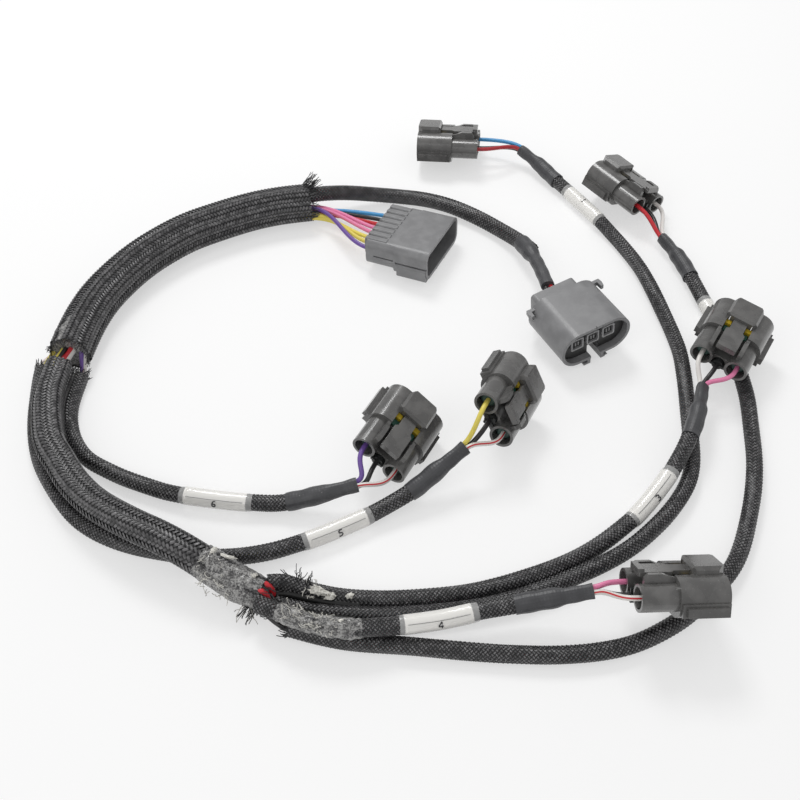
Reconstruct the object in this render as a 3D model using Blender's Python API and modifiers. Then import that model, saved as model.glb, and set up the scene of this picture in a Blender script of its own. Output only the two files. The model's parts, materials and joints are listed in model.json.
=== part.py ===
"""A six-cylinder ignition coil wiring harness, laid out flat as it lies on a table.

A thick braided trunk runs from the two engine plugs round to a first breakout, where two coil
branches leave it. The rest goes on in a thinner braided sleeve to a second breakout, where the
other four coil branches leave. Each coil branch is a braided sleeve with a number label, a
heat-shrink boot, three short bare wires and a latched three-way connector.
"""

import math

import bmesh
import bpy
import numpy as np
from mathutils import Euler, Matrix, Vector

MM = 0.001

# The routes below are in millimetres on the table, measured from the middle of the picture.
# The object's origin is the middle of its own box, so each route moves by this much.
CENTRE_X = 2.9
CENTRE_Y = 33.6

# Cords: outer radii in millimetres, and the clear gap that pieces on a cord keep to it.
SLEEVE_R = 3.55
POWER_SLEEVE_R = 4.0
TRUNK_R = 10.2
MID_R = 7.0
WIRE_R = 1.1
GAP = 0.35
WIRE_HOLE_R = WIRE_R + GAP + 0.1
CORD_SIDES_RES = 3
POINTS_PER_DIAMETER = 0.38

# Open sleeve ends: how deep the hollow goes, and the wall that is left round it.
MOUTH_DEPTH = 9.0
MOUTH_WALL = 0.8
MID_MOUTH_WALL = 1.0
TRUNK_MOUTH_WALL = 1.1

# Labels and heat-shrink boots, as lengths along the cord.
LABEL_LENGTH = 31.0
LABEL_WALL = 0.55
BOOT_LENGTH = 31.0
BOOT_OVER_WIRES = 14.0
BOOT_WALL = 0.45
BUNDLE_R = WIRE_R * (1.0 + 2.0 / math.sqrt(3.0))

# Coil connector, in its own frame: x runs from the wire end to the mouth, z up to the latch.
COIL_LENGTH = 34.0
TUBE_LENGTH = 14.5
TUBE_R = 5.4
TUBE_Y = 8.6
BORE_R = 3.6
MIDDLE_BORE_R = 3.0
BORE_DEPTH = 10.0
MIDDLE_Z = -2.2
SHROUD_W = 30.0
SHROUD_H = 16.0
SHROUD_ROUND = 7.0
SHROUD_WALL = 1.6
CORE_W = 19.0
CORE_H = 7.0
SEAL_START = TUBE_LENGTH + 1.9
SEAL_LENGTH = 2.2
RETAINER_START = SEAL_START + SEAL_LENGTH + 0.4
RETAINER_LENGTH = 2.4
ROOT_START = RETAINER_START + RETAINER_LENGTH + 0.4
CORE_END = ROOT_START + 2.2
HOOD_W = 15.0
HOOD_TOP = 11.6
HOOD_START = 22.0
LATCH_W = 9.4
RAIL_OUT = 17.3

# Wide eight-way plug, mouth forward.
MAIN_LENGTH = 36.0
MAIN_REAR_W = 35.0
MAIN_FRONT_W = 42.0
MAIN_H = 16.0
MAIN_REAR_LENGTH = 17.5
MAIN_WALL = 1.8
MAIN_WAYS = 8

# Oval three-way plug, mouth forward.
POWER_W = 38.0
POWER_H = 20.0
POWER_REAR_LENGTH = 6.0
POWER_LENGTH = 36.0
POWER_WALL = 1.6
POWER_WAYS = 3
POWER_PITCH = 8.6
TOWER_BACK = 7.5

# Each route is a list of (x, y, height of the centre line) in millimetres.
TRUNK = [(-49, 134, 10.6), (-65, 131, 10.6), (-80, 126, 10.6), (-96, 118, 10.6),
         (-111, 109, 10.6), (-124, 97, 10.6), (-134, 85, 10.6), (-142, 72, 10.6),
         (-149, 57, 10.6), (-153, 42, 10.6), (-155, 29, 10.6), (-156, 20, 10.6)]
MID = [(-159, 11, 11.3), (-159.5, -10, 12), (-153.5, -35, 13), (-145.5, -48, 13),
       (-137.5, -59.5, 13), (-126, -71, 13.8), (-110, -82, 16), (-95.5, -90, 17),
       (-82, -97.5, 15.5), (-68, -105, 10.8), (-55, -110.5, 7.8)]
COILS = {
    1: [(-46, -114, 4.6), (-36, -116, 4), (-24, -117.3, 4), (-12, -118, 4), (0, -118, 4),
        (16, -116.6, 4), (32, -114, 4), (48, -109.5, 4), (64, -103.2, 4), (79, -96, 4),
        (93, -87.5, 4), (105, -77.5, 4), (116, -66, 4), (124.5, -53, 4), (128.8, -40, 4),
        (131, -24, 4), (132.6, -7, 4), (133.6, 5, 4), (134.2, 16, 4), (134.5, 28, 4),
        (133.5, 40, 4), (131.5, 54, 4), (128, 73, 4), (123.5, 91, 4), (118, 106, 4),
        (113.5, 116, 4), (108, 126, 4.8), (99.5, 141, 4.9), (91, 155.5, 5), (84.5, 166, 5.5),
        (77.5, 175.5, 7.5), (69, 184, 10)],
    2: [(-43, -123.5, 4.0), (-31, -127, 4), (-19, -129.5, 4), (0, -131.3, 4), (15, -132.7, 4),
        (31, -134, 4), (46, -135, 4), (61, -135.5, 4), (77, -134, 4), (93, -129.5, 4),
        (112, -119, 4), (125, -107, 4), (135, -96, 4), (143, -82, 4), (151, -61, 4),
        (156, -41, 4), (159, -22, 4), (161, -5, 4), (161, 9, 4), (160, 24, 4.4), (158, 37, 4.8),
        (155.5, 48, 5.1), (151.5, 67, 5.1), (149.5, 77, 5.3), (147.5, 87, 5.5), (143.5, 98.5, 6.5),
        (138.5, 109, 7.5)],
    3: [(-45, -106.3, 9), (-35, -108.2, 6.5), (-24, -109.8, 4.5), (-12, -110.6, 4),
        (0, -110.5, 4), (16, -109, 4), (32, -106.4, 4), (48, -101.8, 4), (65, -94.8, 4),
        (82, -85, 4.2), (96, -74, 5), (104, -66, 6), (113, -55.5, 8.5), (119.5, -46.5, 10.5),
        (125.5, -37, 12), (131, -25.5, 13.5), (135, -14, 14), (138, -4, 13.5)],
    4: [(-49, -120, 12), (-39, -124.8, 12.5), (-28, -128, 12.8), (-19, -129, 12.5),
        (-8, -127.5, 11.5), (1, -126, 10.5), (16, -123.4, 10), (30, -120.2, 10.5),
        (40, -118.5, 11), (48, -117.3, 12), (62, -116, 14.5), (75, -114.8, 17)],
    5: [(-169, 15, 5.5), (-169, 7, 4.5), (-168, -4, 4), (-166, -16, 4), (-163, -28, 4),
        (-159, -39, 4), (-153, -50, 4), (-145.5, -61, 4), (-135.5, -72, 4), (-123, -80, 4),
        (-107, -86, 4), (-90, -89.5, 4), (-74, -90.5, 4), (-56, -88.5, 4), (-41, -84, 4.8),
        (-26, -77, 4.9), (-11, -69, 5.2), (4, -60.5, 8), (17, -51.5, 13.5), (28, -43.5, 18)],
    6: [(-150.5, 11, 4), (-151.5, 0, 4), (-151.5, -9, 4), (-150, -18, 4), (-146, -28, 4),
        (-138.5, -38, 4), (-128, -45, 4), (-118, -50.5, 4), (-104, -56, 4), (-94, -59, 4.8),
        (-79, -61.5, 4.8), (-65, -63.2, 4.8), (-53, -63.8, 5), (-43, -63.4, 7),
        (-30, -62, 10.5), (-18, -59.5, 12.5)],
}
POWER = [(-56, 135.8, 13.2), (-49, 137.3, 13.2), (-40, 140.5, 12.2), (-28, 144, 10),
         (-14, 146.5, 7), (0, 147, 5), (14, 144.5, 4.6), (28, 138.5, 4.6), (42, 129, 4.6),
         (53, 119, 5), (62, 107.5, 7), (68, 95.5, 10), (72, 84, 12.5)]

# Where each label's middle sits, as a length back from the end of the boot.
LABEL_BACK = {1: 56.0, 2: 65.0, 3: 67.0, 4: 61.5, 5: 66.0, 6: 62.0}

# Each connector: rear centre (x, y, z) in millimetres, then yaw, nose-down pitch and roll.
COIL_POSES = {
    1: ((45.0, 186.0, 12.0), (173.0, 2.0, 16.0)),
    2: ((133.5, 131.5, 11.0), (128.0, -3.0, 22.0)),
    3: ((146.6, 7.5, 17.4), (59.0, 0.0, 9.0)),
    4: ((88.0, -118.0, 22.8), (5.0, 5.0, -36.0)),
    5: ((40.4, -33.5, 24.2), (66.0, 12.0, 58.0)),
    6: ((-9.2, -48.5, 15.0), (62.5, 1.0, 33.0)),
}
MAIN_POSE = ((-11.0, 110.5, 9.3), (-24.0, -3.0, -4.0))
POWER_POSE = ((76.5, 56.0, 13.8), (-63.0, -1.0, 6.0))

# Looks read from the photograph, as linear colours.
BRAID = (0.020, 0.020, 0.023)
SHRINK = (0.060, 0.061, 0.066)
LABEL = (0.80, 0.79, 0.75)
HOUSING = (0.115, 0.115, 0.112)
PLUG_GREY = (0.200, 0.200, 0.205)
YELLOW = (0.42, 0.31, 0.02)
GREEN = (0.010, 0.110, 0.060)
GLUE = (0.33, 0.33, 0.34)
PURPLE = (0.17, 0.10, 0.36)
WHITE = (0.78, 0.76, 0.74)
PINK = (0.78, 0.14, 0.38)
RED = (0.52, 0.02, 0.03)
BRASS = (0.55, 0.42, 0.20)


def clear_scene():
    for old in list(bpy.data.objects):
        bpy.data.objects.remove(old)


def collection(name):
    made = bpy.data.collections.new(name)
    bpy.context.scene.collection.children.link(made)
    return made


def material(name, colour, roughness, metallic=0.0):
    made = bpy.data.materials.new(name)
    made.use_nodes = True
    shader = made.node_tree.nodes["Principled BSDF"]
    shader.inputs["Base Color"].default_value = (*colour, 1.0)
    shader.inputs["Roughness"].default_value = roughness
    shader.inputs["Metallic"].default_value = metallic
    return made


def smooth_route(points, spacing):
    """Even points along a smooth curve through the given ones, in metres."""
    given = np.array(points, float)
    given[:, 0] -= CENTRE_X
    given[:, 1] -= CENTRE_Y
    ends = np.vstack([2 * given[0] - given[1], given, 2 * given[-1] - given[-2]])
    fine = []
    for a, b, c, d in zip(ends, ends[1:], ends[2:], ends[3:]):
        for t in np.linspace(0.0, 1.0, 24, endpoint=False):
            fine.append(0.5 * (2 * b + (c - a) * t + (2 * a - 5 * b + 4 * c - d) * t * t
                               + (3 * b - a - 3 * c + d) * t ** 3))
    fine = np.array(fine + [given[-1]])
    for _ in range(30):
        fine[1:-1] = 0.25 * fine[:-2] + 0.5 * fine[1:-1] + 0.25 * fine[2:]
    along = np.concatenate([[0.0], np.cumsum(np.linalg.norm(np.diff(fine, axis=0), axis=1))])
    count = max(int(round(along[-1] / spacing)), 3) + 1
    wanted = np.linspace(0.0, along[-1], count)
    return np.stack([np.interp(wanted, along, fine[:, i]) for i in range(3)], axis=1) * MM


def lengths(path):
    return np.concatenate([[0.0], np.cumsum(np.linalg.norm(np.diff(path, axis=0), axis=1))])


def stretch(path, start, end, extra=()):
    """The part of a path between two lengths, with its own points and any extra lengths."""
    along = lengths(path)
    inside = [s for s in along if start + 0.0004 < s < end - 0.0004]
    inside = [s for s in inside if all(abs(s - e) > 0.0004 for e in extra)]
    wanted = sorted([start, end, *inside, *extra])
    return np.stack([np.interp(wanted, along, path[:, i]) for i in range(3)], axis=1)


def extended(path, before, after):
    first = path[0] + (path[0] - path[1]) / np.linalg.norm(path[0] - path[1]) * before
    last = path[-1] + (path[-1] - path[-2]) / np.linalg.norm(path[-1] - path[-2]) * after
    return np.vstack([first, path, last])


def as_mesh(obj, into):
    """Turns a curve object, or one with modifiers, into a plain mesh object."""
    graph = bpy.context.evaluated_depsgraph_get()
    graph.update()
    mesh = bpy.data.meshes.new_from_object(obj.evaluated_get(graph))
    work = bmesh.new()
    work.from_mesh(mesh)
    bmesh.ops.remove_doubles(work, verts=work.verts, dist=1e-6)
    bmesh.ops.recalc_face_normals(work, faces=work.faces)
    work.to_mesh(mesh)
    work.free()
    name = obj.name
    matrix = obj.matrix_world.copy()
    bpy.data.objects.remove(obj)
    made = bpy.data.objects.new(name, mesh)
    mesh.name = name
    made.matrix_world = matrix
    into.objects.link(made)
    return made


def tube(name, path, radii, into, caps=True, resolution=CORD_SIDES_RES):
    """A round tube along a path; radii is one number or one for each point, in metres."""
    curve = bpy.data.curves.new(name, "CURVE")
    curve.dimensions = "3D"
    curve.twist_mode = "Z_UP"
    curve.bevel_depth = 1.0
    curve.bevel_resolution = resolution
    curve.use_fill_caps = caps
    spline = curve.splines.new("POLY")
    spline.points.add(len(path) - 1)
    sizes = np.broadcast_to(np.asarray(radii, float), (len(path),))
    for point, co, size in zip(spline.points, path, sizes):
        point.co = (*co, 1.0)
        point.radius = size
    made = bpy.data.objects.new(name, curve)
    into.objects.link(made)
    return made


def tube_mesh(name, path, radii, into, resolution=CORD_SIDES_RES):
    return as_mesh(tube(name, path, radii, into, resolution=resolution), into)


def shell(name, path, outer, wall, into, resolution=CORD_SIDES_RES):
    """An open-ended tube with a wall, the outer radius given at each point."""
    made = as_mesh(tube(name, path, outer, into, caps=False, resolution=resolution), into)
    solid = made.modifiers.new("wall", "SOLIDIFY")
    solid.thickness = wall
    solid.offset = -1.0
    solid.use_even_offset = True
    return as_mesh(made, into)


def box(name, low, high, bevel=0.0):
    """A box between two corners in millimetres, with its edges rounded if asked."""
    work = bmesh.new()
    bmesh.ops.create_cube(work, size=1.0)
    low = Vector(low) * MM
    high = Vector(high) * MM
    bmesh.ops.scale(work, vec=high - low, verts=work.verts)
    bmesh.ops.translate(work, vec=(high + low) / 2, verts=work.verts)
    mesh = bpy.data.meshes.new(name)
    work.to_mesh(mesh)
    work.free()
    made = bpy.data.objects.new(name, mesh)
    CUTTERS.objects.link(made)
    if bevel:
        soft = made.modifiers.new("edge", "BEVEL")
        soft.width = bevel * MM
        soft.segments = 1
        made = as_mesh(made, CUTTERS)
    return made


def rod(name, radius, start, end, y, z, sides=12):
    """A cylinder along x between two lengths, in millimetres."""
    work = bmesh.new()
    bmesh.ops.create_cone(work, cap_ends=True, segments=sides, radius1=radius * MM,
                          radius2=radius * MM, depth=(end - start) * MM)
    bmesh.ops.rotate(work, verts=work.verts, matrix=Matrix.Rotation(math.pi / 2, 3, "Y"))
    bmesh.ops.translate(work, vec=Vector(((start + end) / 2, y, z)) * MM, verts=work.verts)
    mesh = bpy.data.meshes.new(name)
    work.to_mesh(mesh)
    work.free()
    made = bpy.data.objects.new(name, mesh)
    CUTTERS.objects.link(made)
    return made


def rounded(width, height, corner, segments=3, z=0.0):
    """The outline of a rounded rectangle across the connector, as (y, z) in millimetres."""
    points = []
    for cy, cz, turn in ((1, 1, 0), (-1, 1, 90), (-1, -1, 180), (1, -1, 270)):
        for step in range(segments + 1):
            angle = math.radians(turn + 90.0 * step / segments)
            points.append((cy * (width / 2 - corner) + corner * math.cos(angle),
                           z + cz * (height / 2 - corner) + corner * math.sin(angle)))
    return points


def slab(name, outline, start, end):
    """An outline across the connector, pushed along x between two lengths."""
    curve = bpy.data.curves.new(name, "CURVE")
    curve.dimensions = "2D"
    curve.fill_mode = "BOTH"
    curve.extrude = (end - start) / 2 * MM
    spline = curve.splines.new("POLY")
    spline.points.add(len(outline) - 1)
    for point, (y, z) in zip(spline.points, outline):
        point.co = (y * MM, z * MM, 0.0, 1.0)
    spline.use_cyclic_u = True
    made = bpy.data.objects.new(name, curve)
    CUTTERS.objects.link(made)
    made = as_mesh(made, CUTTERS)
    turn = Matrix(((0, 0, 1, 0), (1, 0, 0, 0), (0, 1, 0, 0), (0, 0, 0, 1)))
    made.data.transform(Matrix.Translation(((start + end) / 2 * MM, 0, 0)) @ turn)
    return made


def fuse(name, adds, cuts=(), flatten=False):
    """One mesh from pieces joined together and then cut. The pieces stay behind as guides."""
    base = adds[0]
    base.name = name
    steps = [(other, "UNION") for other in adds[1:]] + [(other, "DIFFERENCE") for other in cuts]
    for other, operation in steps:
        step = base.modifiers.new(operation.lower(), "BOOLEAN")
        step.operation = operation
        step.solver = "EXACT"
        step.object = other
    made = as_mesh(base, CUTTERS)
    mesh = made.data
    if flatten:
        work = bmesh.new()
        work.from_mesh(mesh)
        bmesh.ops.dissolve_limit(work, angle_limit=0.001, verts=work.verts, edges=work.edges)
        work.to_mesh(mesh)
        work.free()
    bpy.data.objects.remove(made)
    for used in [*adds[1:], *cuts]:
        used.hide_render = True
        used.display_type = "WIRE"
    return mesh


def piece(name, mesh, look, parent=None):
    """A finished node: the mesh as its own object, shaded smooth, with its own material."""
    made = bpy.data.objects.new(name, mesh)
    PARTS.objects.link(made)
    mesh.shade_smooth()
    mesh.set_sharp_from_angle(angle=math.radians(35))
    mesh.materials.clear()
    mesh.materials.append(look)
    if parent:
        made.parent = parent
    return made


def socket(name, pose):
    """An empty at a connector's rear centre, turned as the connector lies."""
    (x, y, z), (yaw, pitch, roll) = pose
    made = bpy.data.objects.new(name, None)
    made.location = ((x - CENTRE_X) * MM, (y - CENTRE_Y) * MM, z * MM)
    made.rotation_euler = Euler([math.radians(a) for a in (roll, pitch, yaw)], "XYZ")
    PARTS.objects.link(made)
    bpy.context.view_layer.update()
    return made


def coil_housing():
    """The grey one-piece body: two wire tubes, the shroud, its hood, latch, guards and rails."""
    adds = [slab("shroud", rounded(SHROUD_W, SHROUD_H, SHROUD_ROUND), TUBE_LENGTH, COIL_LENGTH)]
    for side in (-1, 1):
        adds.append(rod("tube", TUBE_R, 0.0, TUBE_LENGTH + 2, side * TUBE_Y, 0.0))
        low_y, high_y = sorted((side * 6.2, side * 8.2))
        adds.append(box("guard", (2.0, low_y, 2.0), (TUBE_LENGTH + 1, high_y, 9.0)))
        low_y, high_y = sorted((side * 13.0, side * RAIL_OUT))
        adds.append(box("rail", (TUBE_LENGTH + 0.5, low_y, -5.4), (COIL_LENGTH - 0.6, high_y, -1.2)))
    adds.append(box("web", (2.5, -6.0, -5.0), (TUBE_LENGTH + 1, 6.0, 2.0)))
    adds.append(box("hood", (HOOD_START, -HOOD_W / 2, 4.0), (COIL_LENGTH, HOOD_W / 2, HOOD_TOP), 1.4))
    cuts = []
    inner = rounded(SHROUD_W - 2 * SHROUD_WALL, SHROUD_H - 2 * SHROUD_WALL,
                    SHROUD_ROUND - SHROUD_WALL)
    cuts.append(slab("shroud_hollow", inner, TUBE_LENGTH + 1.5, COIL_LENGTH + 2))
    cuts.append(box("hood_hollow", (HOOD_START - 2, -5.6, 5.0), (COIL_LENGTH - 1.6, 5.6, HOOD_TOP - 1.5)))
    cuts.append(box("window", (TUBE_LENGTH - 2.5, -6.4, 4.6), (HOOD_START + 0.6, 6.4, HOOD_TOP)))
    body = fuse("coil_body", adds, cuts)
    base = bpy.data.objects.new("coil_body", body)
    CUTTERS.objects.link(base)
    base.hide_render = True
    more = [slab("core", rounded(CORE_W, CORE_H, 2.8, 2, -1.0), TUBE_LENGTH, CORE_END),
            box("latch_root", (ROOT_START, -3.4, 2.2), (CORE_END, 3.4, 8.6)),
            box("latch_arm", (5.0, -3.4, 6.9), (CORE_END, 3.4, 8.6)),
            box("latch_pad", (1.0, -LATCH_W / 2, 6.9), (15.0, LATCH_W / 2, 8.8), 0.4),
            box("latch_lip", (0.8, -LATCH_W / 2, 7.4), (3.6, LATCH_W / 2, 10.2), 0.5)]
    bores = [rod("bore", BORE_R, -1.0, BORE_DEPTH, side * TUBE_Y, 0.0, 10) for side in (-1, 1)]
    bores.append(rod("bore_middle", MIDDLE_BORE_R, 1.0, BORE_DEPTH, 0.0, MIDDLE_Z, 10))
    ways = [box("way", (CORE_END - 8, y - 1.3, -2.4), (CORE_END + 1, y + 1.3, 0.4))
            for y in (-6.0, 0.0, 6.0)]
    return fuse("coil_housing", [base, *more], [*bores, *ways], True)


def ring(name, width, height, corner, wall, start, end, z=-1.0, tabs=()):
    """A flat band round the core, with raised tabs where asked."""
    adds = [slab(name, rounded(width, height, corner, 2, z), start, end)]
    for y in tabs:
        adds.append(box("tab", (start, y - 1.3, 2.4), (end, y + 1.3, 6.3)))
    inside = rounded(width - 2 * wall, height - 2 * wall, corner - wall, 2, z)
    return fuse(name, adds, [slab("ring_hollow", inside, start - 1, end + 1)])


def main_housing():
    """The wide plug: a ribbed rear block with eight wire holes and a deep open shroud."""
    front = rounded(MAIN_FRONT_W, MAIN_H, 5.0)
    rear = rounded(MAIN_REAR_W, MAIN_H - 2.4, 4.4, z=0.9)
    adds = [slab("front", front, MAIN_REAR_LENGTH, MAIN_LENGTH),
            slab("rear", rear, 0.0, MAIN_REAR_LENGTH + 1)]
    pitch = (MAIN_REAR_W - 5.0) / MAIN_WAYS
    ways = [pitch * (i - (MAIN_WAYS - 1) / 2) for i in range(MAIN_WAYS)]
    for y in ways:
        adds.append(box("rib", (1.2, y - 0.6, 5.0), (9.0, y + 0.6, 8.7)))
    adds.append(box("far_tab", (10.0, MAIN_REAR_W / 2 - 2, 2.5), (26.0, MAIN_FRONT_W / 2 + 0.9, 5.0)))
    for y in (-6.0, 4.0):
        adds.append(rod("knob", 0.9, MAIN_LENGTH - 4, MAIN_LENGTH - 0.4, y, -MAIN_H / 2 - 0.3, 8))
    inner = rounded(MAIN_FRONT_W - 2 * MAIN_WALL, MAIN_H - 2 * MAIN_WALL, 5.0 - MAIN_WALL)
    cuts = [slab("mouth", inner, MAIN_REAR_LENGTH - 1, MAIN_LENGTH + 3)]
    for y in ways:
        cuts.append(rod("wire_hole", WIRE_HOLE_R, -1.0, 8.0, y, 0.6, 10))
    groove_y = MAIN_FRONT_W / 2
    cuts.append(box("groove", (MAIN_REAR_LENGTH + 1, -groove_y - 1, -1.6),
                    (MAIN_LENGTH + 1, -groove_y + 0.8, -0.2)))
    return fuse("main_housing", adds, cuts, True), ways


def main_pins():
    """The pin carrier inside the wide plug: a plate with eight blades pointing at the mouth."""
    floor = MAIN_REAR_LENGTH - 1 + GAP
    plate = rounded(MAIN_FRONT_W - 2 * MAIN_WALL - 2 * GAP, MAIN_H - 2 * MAIN_WALL - 2 * GAP, 2.6)
    adds = [slab("plate", plate, floor, floor + 2.0)]
    for i in range(MAIN_WAYS):
        y = 4.2 * (i - (MAIN_WAYS - 1) / 2)
        adds.append(box("blade", (floor + 1, y - 0.9, -0.4), (floor + 9.0, y + 0.9, 0.4)))
    return fuse("main_pins", adds)


def power_housing():
    """The oval plug: a stadium shroud, a narrower rear block, ears, a slot and two rails."""
    adds = [slab("oval", rounded(POWER_W, POWER_H, POWER_H / 2 - 0.2, 6), POWER_REAR_LENGTH, POWER_LENGTH),
            box("rear_block", (0.0, -14.0, -6.0), (POWER_REAR_LENGTH + 1, 10.0, 8.4), 0.6)]
    for side in (-1, 1):
        low_y, high_y = sorted((side * 13.0, side * 20.5))
        adds.append(box("ear", (POWER_REAR_LENGTH + 0.5, low_y, 4.6), (POWER_REAR_LENGTH + 2.2, high_y, 6.6)))
        low_y, high_y = sorted((side * 18.8, side * 20.5))
        adds.append(box("ear_tip", (POWER_REAR_LENGTH + 0.5, low_y, 4.6), (POWER_REAR_LENGTH + 5.5, high_y, 6.6)))
        low_y, high_y = sorted((side * 3.0, side * 4.6))
        adds.append(box("rail", (14.0, low_y, -POWER_H / 2 - 3.0), (POWER_LENGTH, high_y, -POWER_H / 2 + 1)))
        low_y, high_y = sorted((side * 3.0, side * 6.6))
        adds.append(box("rail_foot", (14.0, low_y, -POWER_H / 2 - 3.0), (POWER_LENGTH, high_y, -POWER_H / 2 - 1.8)))
    inner = rounded(POWER_W - 2 * POWER_WALL, POWER_H - 2 * POWER_WALL,
                    POWER_H / 2 - 0.2 - POWER_WALL, 6)
    cuts = [slab("mouth", inner, POWER_REAR_LENGTH + 4, POWER_LENGTH + 2),
            box("slot", (14.0, -2.6, -POWER_H / 2 - 5), (POWER_LENGTH + 2, 2.6, -4.0)),
            rod("wire_hole", WIRE_HOLE_R, -1.0, 6.0, -4.0, 0.6, 12),
            rod("wire_hole", WIRE_HOLE_R, -1.0, 6.0, 2.0, 0.6, 12)]
    return fuse("power_housing", adds, cuts, True)


def power_insert():
    """Three square terminal towers on one base, inside the oval plug."""
    floor = POWER_REAR_LENGTH + 4 + GAP
    base = rounded(POWER_W - 2 * POWER_WALL - 2 * GAP, POWER_H - 2 * POWER_WALL - 2 * GAP, 7.5, 6)
    adds = [slab("base", base, floor, floor + 2.5)]
    cuts = [box("slot", (floor - 1, -3.0, -POWER_H), (floor + 4, 3.0, -3.6))]
    for i in range(POWER_WAYS):
        y = POWER_PITCH * (i - 1)
        adds.append(box("tower", (floor + 1, y - 3.1, -2.4), (POWER_LENGTH - TOWER_BACK, y + 3.1, 3.8), 0.5))
        cuts.append(box("cavity", (floor + 6, y - 2.0, -1.3), (POWER_LENGTH, y + 2.0, 2.7)))
    return fuse("power_insert", adds, cuts)


def bundle(name, starts, targets, root_path, root_r, look, plugs=()):
    """Short wires that share one root: straight out of it, a smooth bend, straight into a hole.

    Each plug is the radius of what fills the hole round a wire's end, such as a rubber seal.
    """
    adds = [tube_mesh(name, root_path, root_r, CUTTERS)]
    for (leave, away, before, near, end), plug_r in zip(targets, plugs):
        if plug_r:
            run = np.array([near + 0.42 * (end - near), near + 0.91 * (end - near)])
            adds.append(tube_mesh("plug", run, plug_r, CUTTERS))
    for start, (leave, away, before, near, end) in zip(starts, targets):
        corners = [np.array(p, float) for p in (leave, away, before, near)]
        path = [np.array(start, float)]
        for t in np.linspace(0.0, 1.0, 5):
            path.append((1 - t) ** 3 * corners[0] + 3 * t * (1 - t) ** 2 * corners[1]
                        + 3 * t * t * (1 - t) * corners[2] + t ** 3 * corners[3])
        path.append(np.array(end, float))
        adds.append(tube_mesh("wire", np.array(path), WIRE_R * MM, CUTTERS, resolution=2))
    return piece(name, fuse(name, adds), look)


def wire_target(matrix, y, z, depth, start_at, ahead, straight, reach, back):
    """Where one wire goes: out along its cord, round, and square into a connector's hole."""
    def local(x):
        return (matrix @ np.array([x, y * MM, z * MM, 1.0]))[:3]
    leave = start_at + ahead * straight
    return leave, leave + ahead * reach, local(-back), local(-0.002), local(depth)


def frame_at(direction):
    """Two directions across a cord, the first level and the second pointing up."""
    ahead = np.array(direction, float) / np.linalg.norm(direction)
    side = np.cross([0.0, 0.0, 1.0], ahead)
    side /= np.linalg.norm(side)
    return ahead, side, np.cross(ahead, side)


def open_end(path, depth, radius, at_start):
    """A cutter for the hollow mouth at one end of a sleeve."""
    total = lengths(path)[-1]
    if at_start:
        run = extended(stretch(path, 0.0, depth), 0.003, 0.0)
    else:
        run = extended(stretch(path, total - depth, total), 0.0, 0.003)
    return tube_mesh("mouth", run, radius, CUTTERS)


def branch(number):
    """One coil branch: sleeve, label, boot, connector pieces and the three wires."""
    name = f"coil_{number}"
    path = smooth_route(COILS[number], SLEEVE_R * 2 / POINTS_PER_DIAMETER)
    total = lengths(path)[-1]
    end = total - BOOT_OVER_WIRES * MM
    sleeve = tube_mesh("sleeve", stretch(path, 0.0, end), SLEEVE_R * MM, CUTTERS)
    mouth = open_end(path, MOUTH_DEPTH * MM, (SLEEVE_R - MOUTH_WALL) * MM, True)
    piece(f"{name}_sleeve", fuse(f"{name}_sleeve", [sleeve], [mouth]), LOOKS["braid"])

    middle = total - LABEL_BACK[number] * MM
    run = stretch(path, middle - LABEL_LENGTH / 2 * MM, middle + LABEL_LENGTH / 2 * MM)
    outer = SLEEVE_R + GAP + LABEL_WALL
    tag = shell("label", run, outer * MM, LABEL_WALL * MM, CUTTERS)
    piece(f"{name}_label", fuse(f"{name}_label", [tag]), LOOKS["label"])

    start = total - BOOT_LENGTH * MM
    run = stretch(path, start, total, (end + 0.001, end + 0.005))
    wide = SLEEVE_R + GAP + BOOT_WALL
    narrow = BUNDLE_R + GAP + BOOT_WALL + 0.15
    size = [wide if s <= end - start + 0.0012 else narrow for s in lengths(run)]
    boot = shell("boot", run, np.array(size) * MM, BOOT_WALL * MM, CUTTERS)
    piece(f"{name}_heat_shrink", fuse(f"{name}_heat_shrink", [boot]), LOOKS["shrink"])

    holder = socket(f"{name}_socket", COIL_POSES[number])
    piece(f"{name}_housing", MESHES["housing"], LOOKS["housing"], holder)
    piece(f"{name}_seal", MESHES["seal"], LOOKS["seal"], holder)
    piece(f"{name}_retainer", MESHES["retainer"], LOOKS["retainer"], holder)

    root = stretch(path, end + 0.0006, total - 0.0095)
    ahead, side, up = frame_at(path[-1] - path[-2])
    centre = root[-1] - ahead * 0.001
    to_world = np.array(holder.matrix_world)
    starts = []
    targets = []
    for index, (y, z) in enumerate(((TUBE_Y, 0.0), (0.0, MIDDLE_Z), (-TUBE_Y, 0.0))):
        turn = math.radians((150, 270, 30)[index])
        shift = side * math.cos(turn) * -1.0 + up * math.sin(turn)
        start_at = centre + shift * WIRE_R * 1.155 * MM
        starts.append(start_at)
        targets.append(wire_target(to_world, y, z, 0.0065, start_at, ahead, 0.0112, 0.0065, 0.0105))
    side_seal = (BORE_R - GAP - 0.15) * MM
    seals = (side_seal, (MIDDLE_BORE_R - GAP - 0.15) * MM, side_seal)
    bundle(f"{name}_wires", starts, targets, root, BUNDLE_R * MM, LOOKS[f"wires_{number}"], seals)


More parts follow.
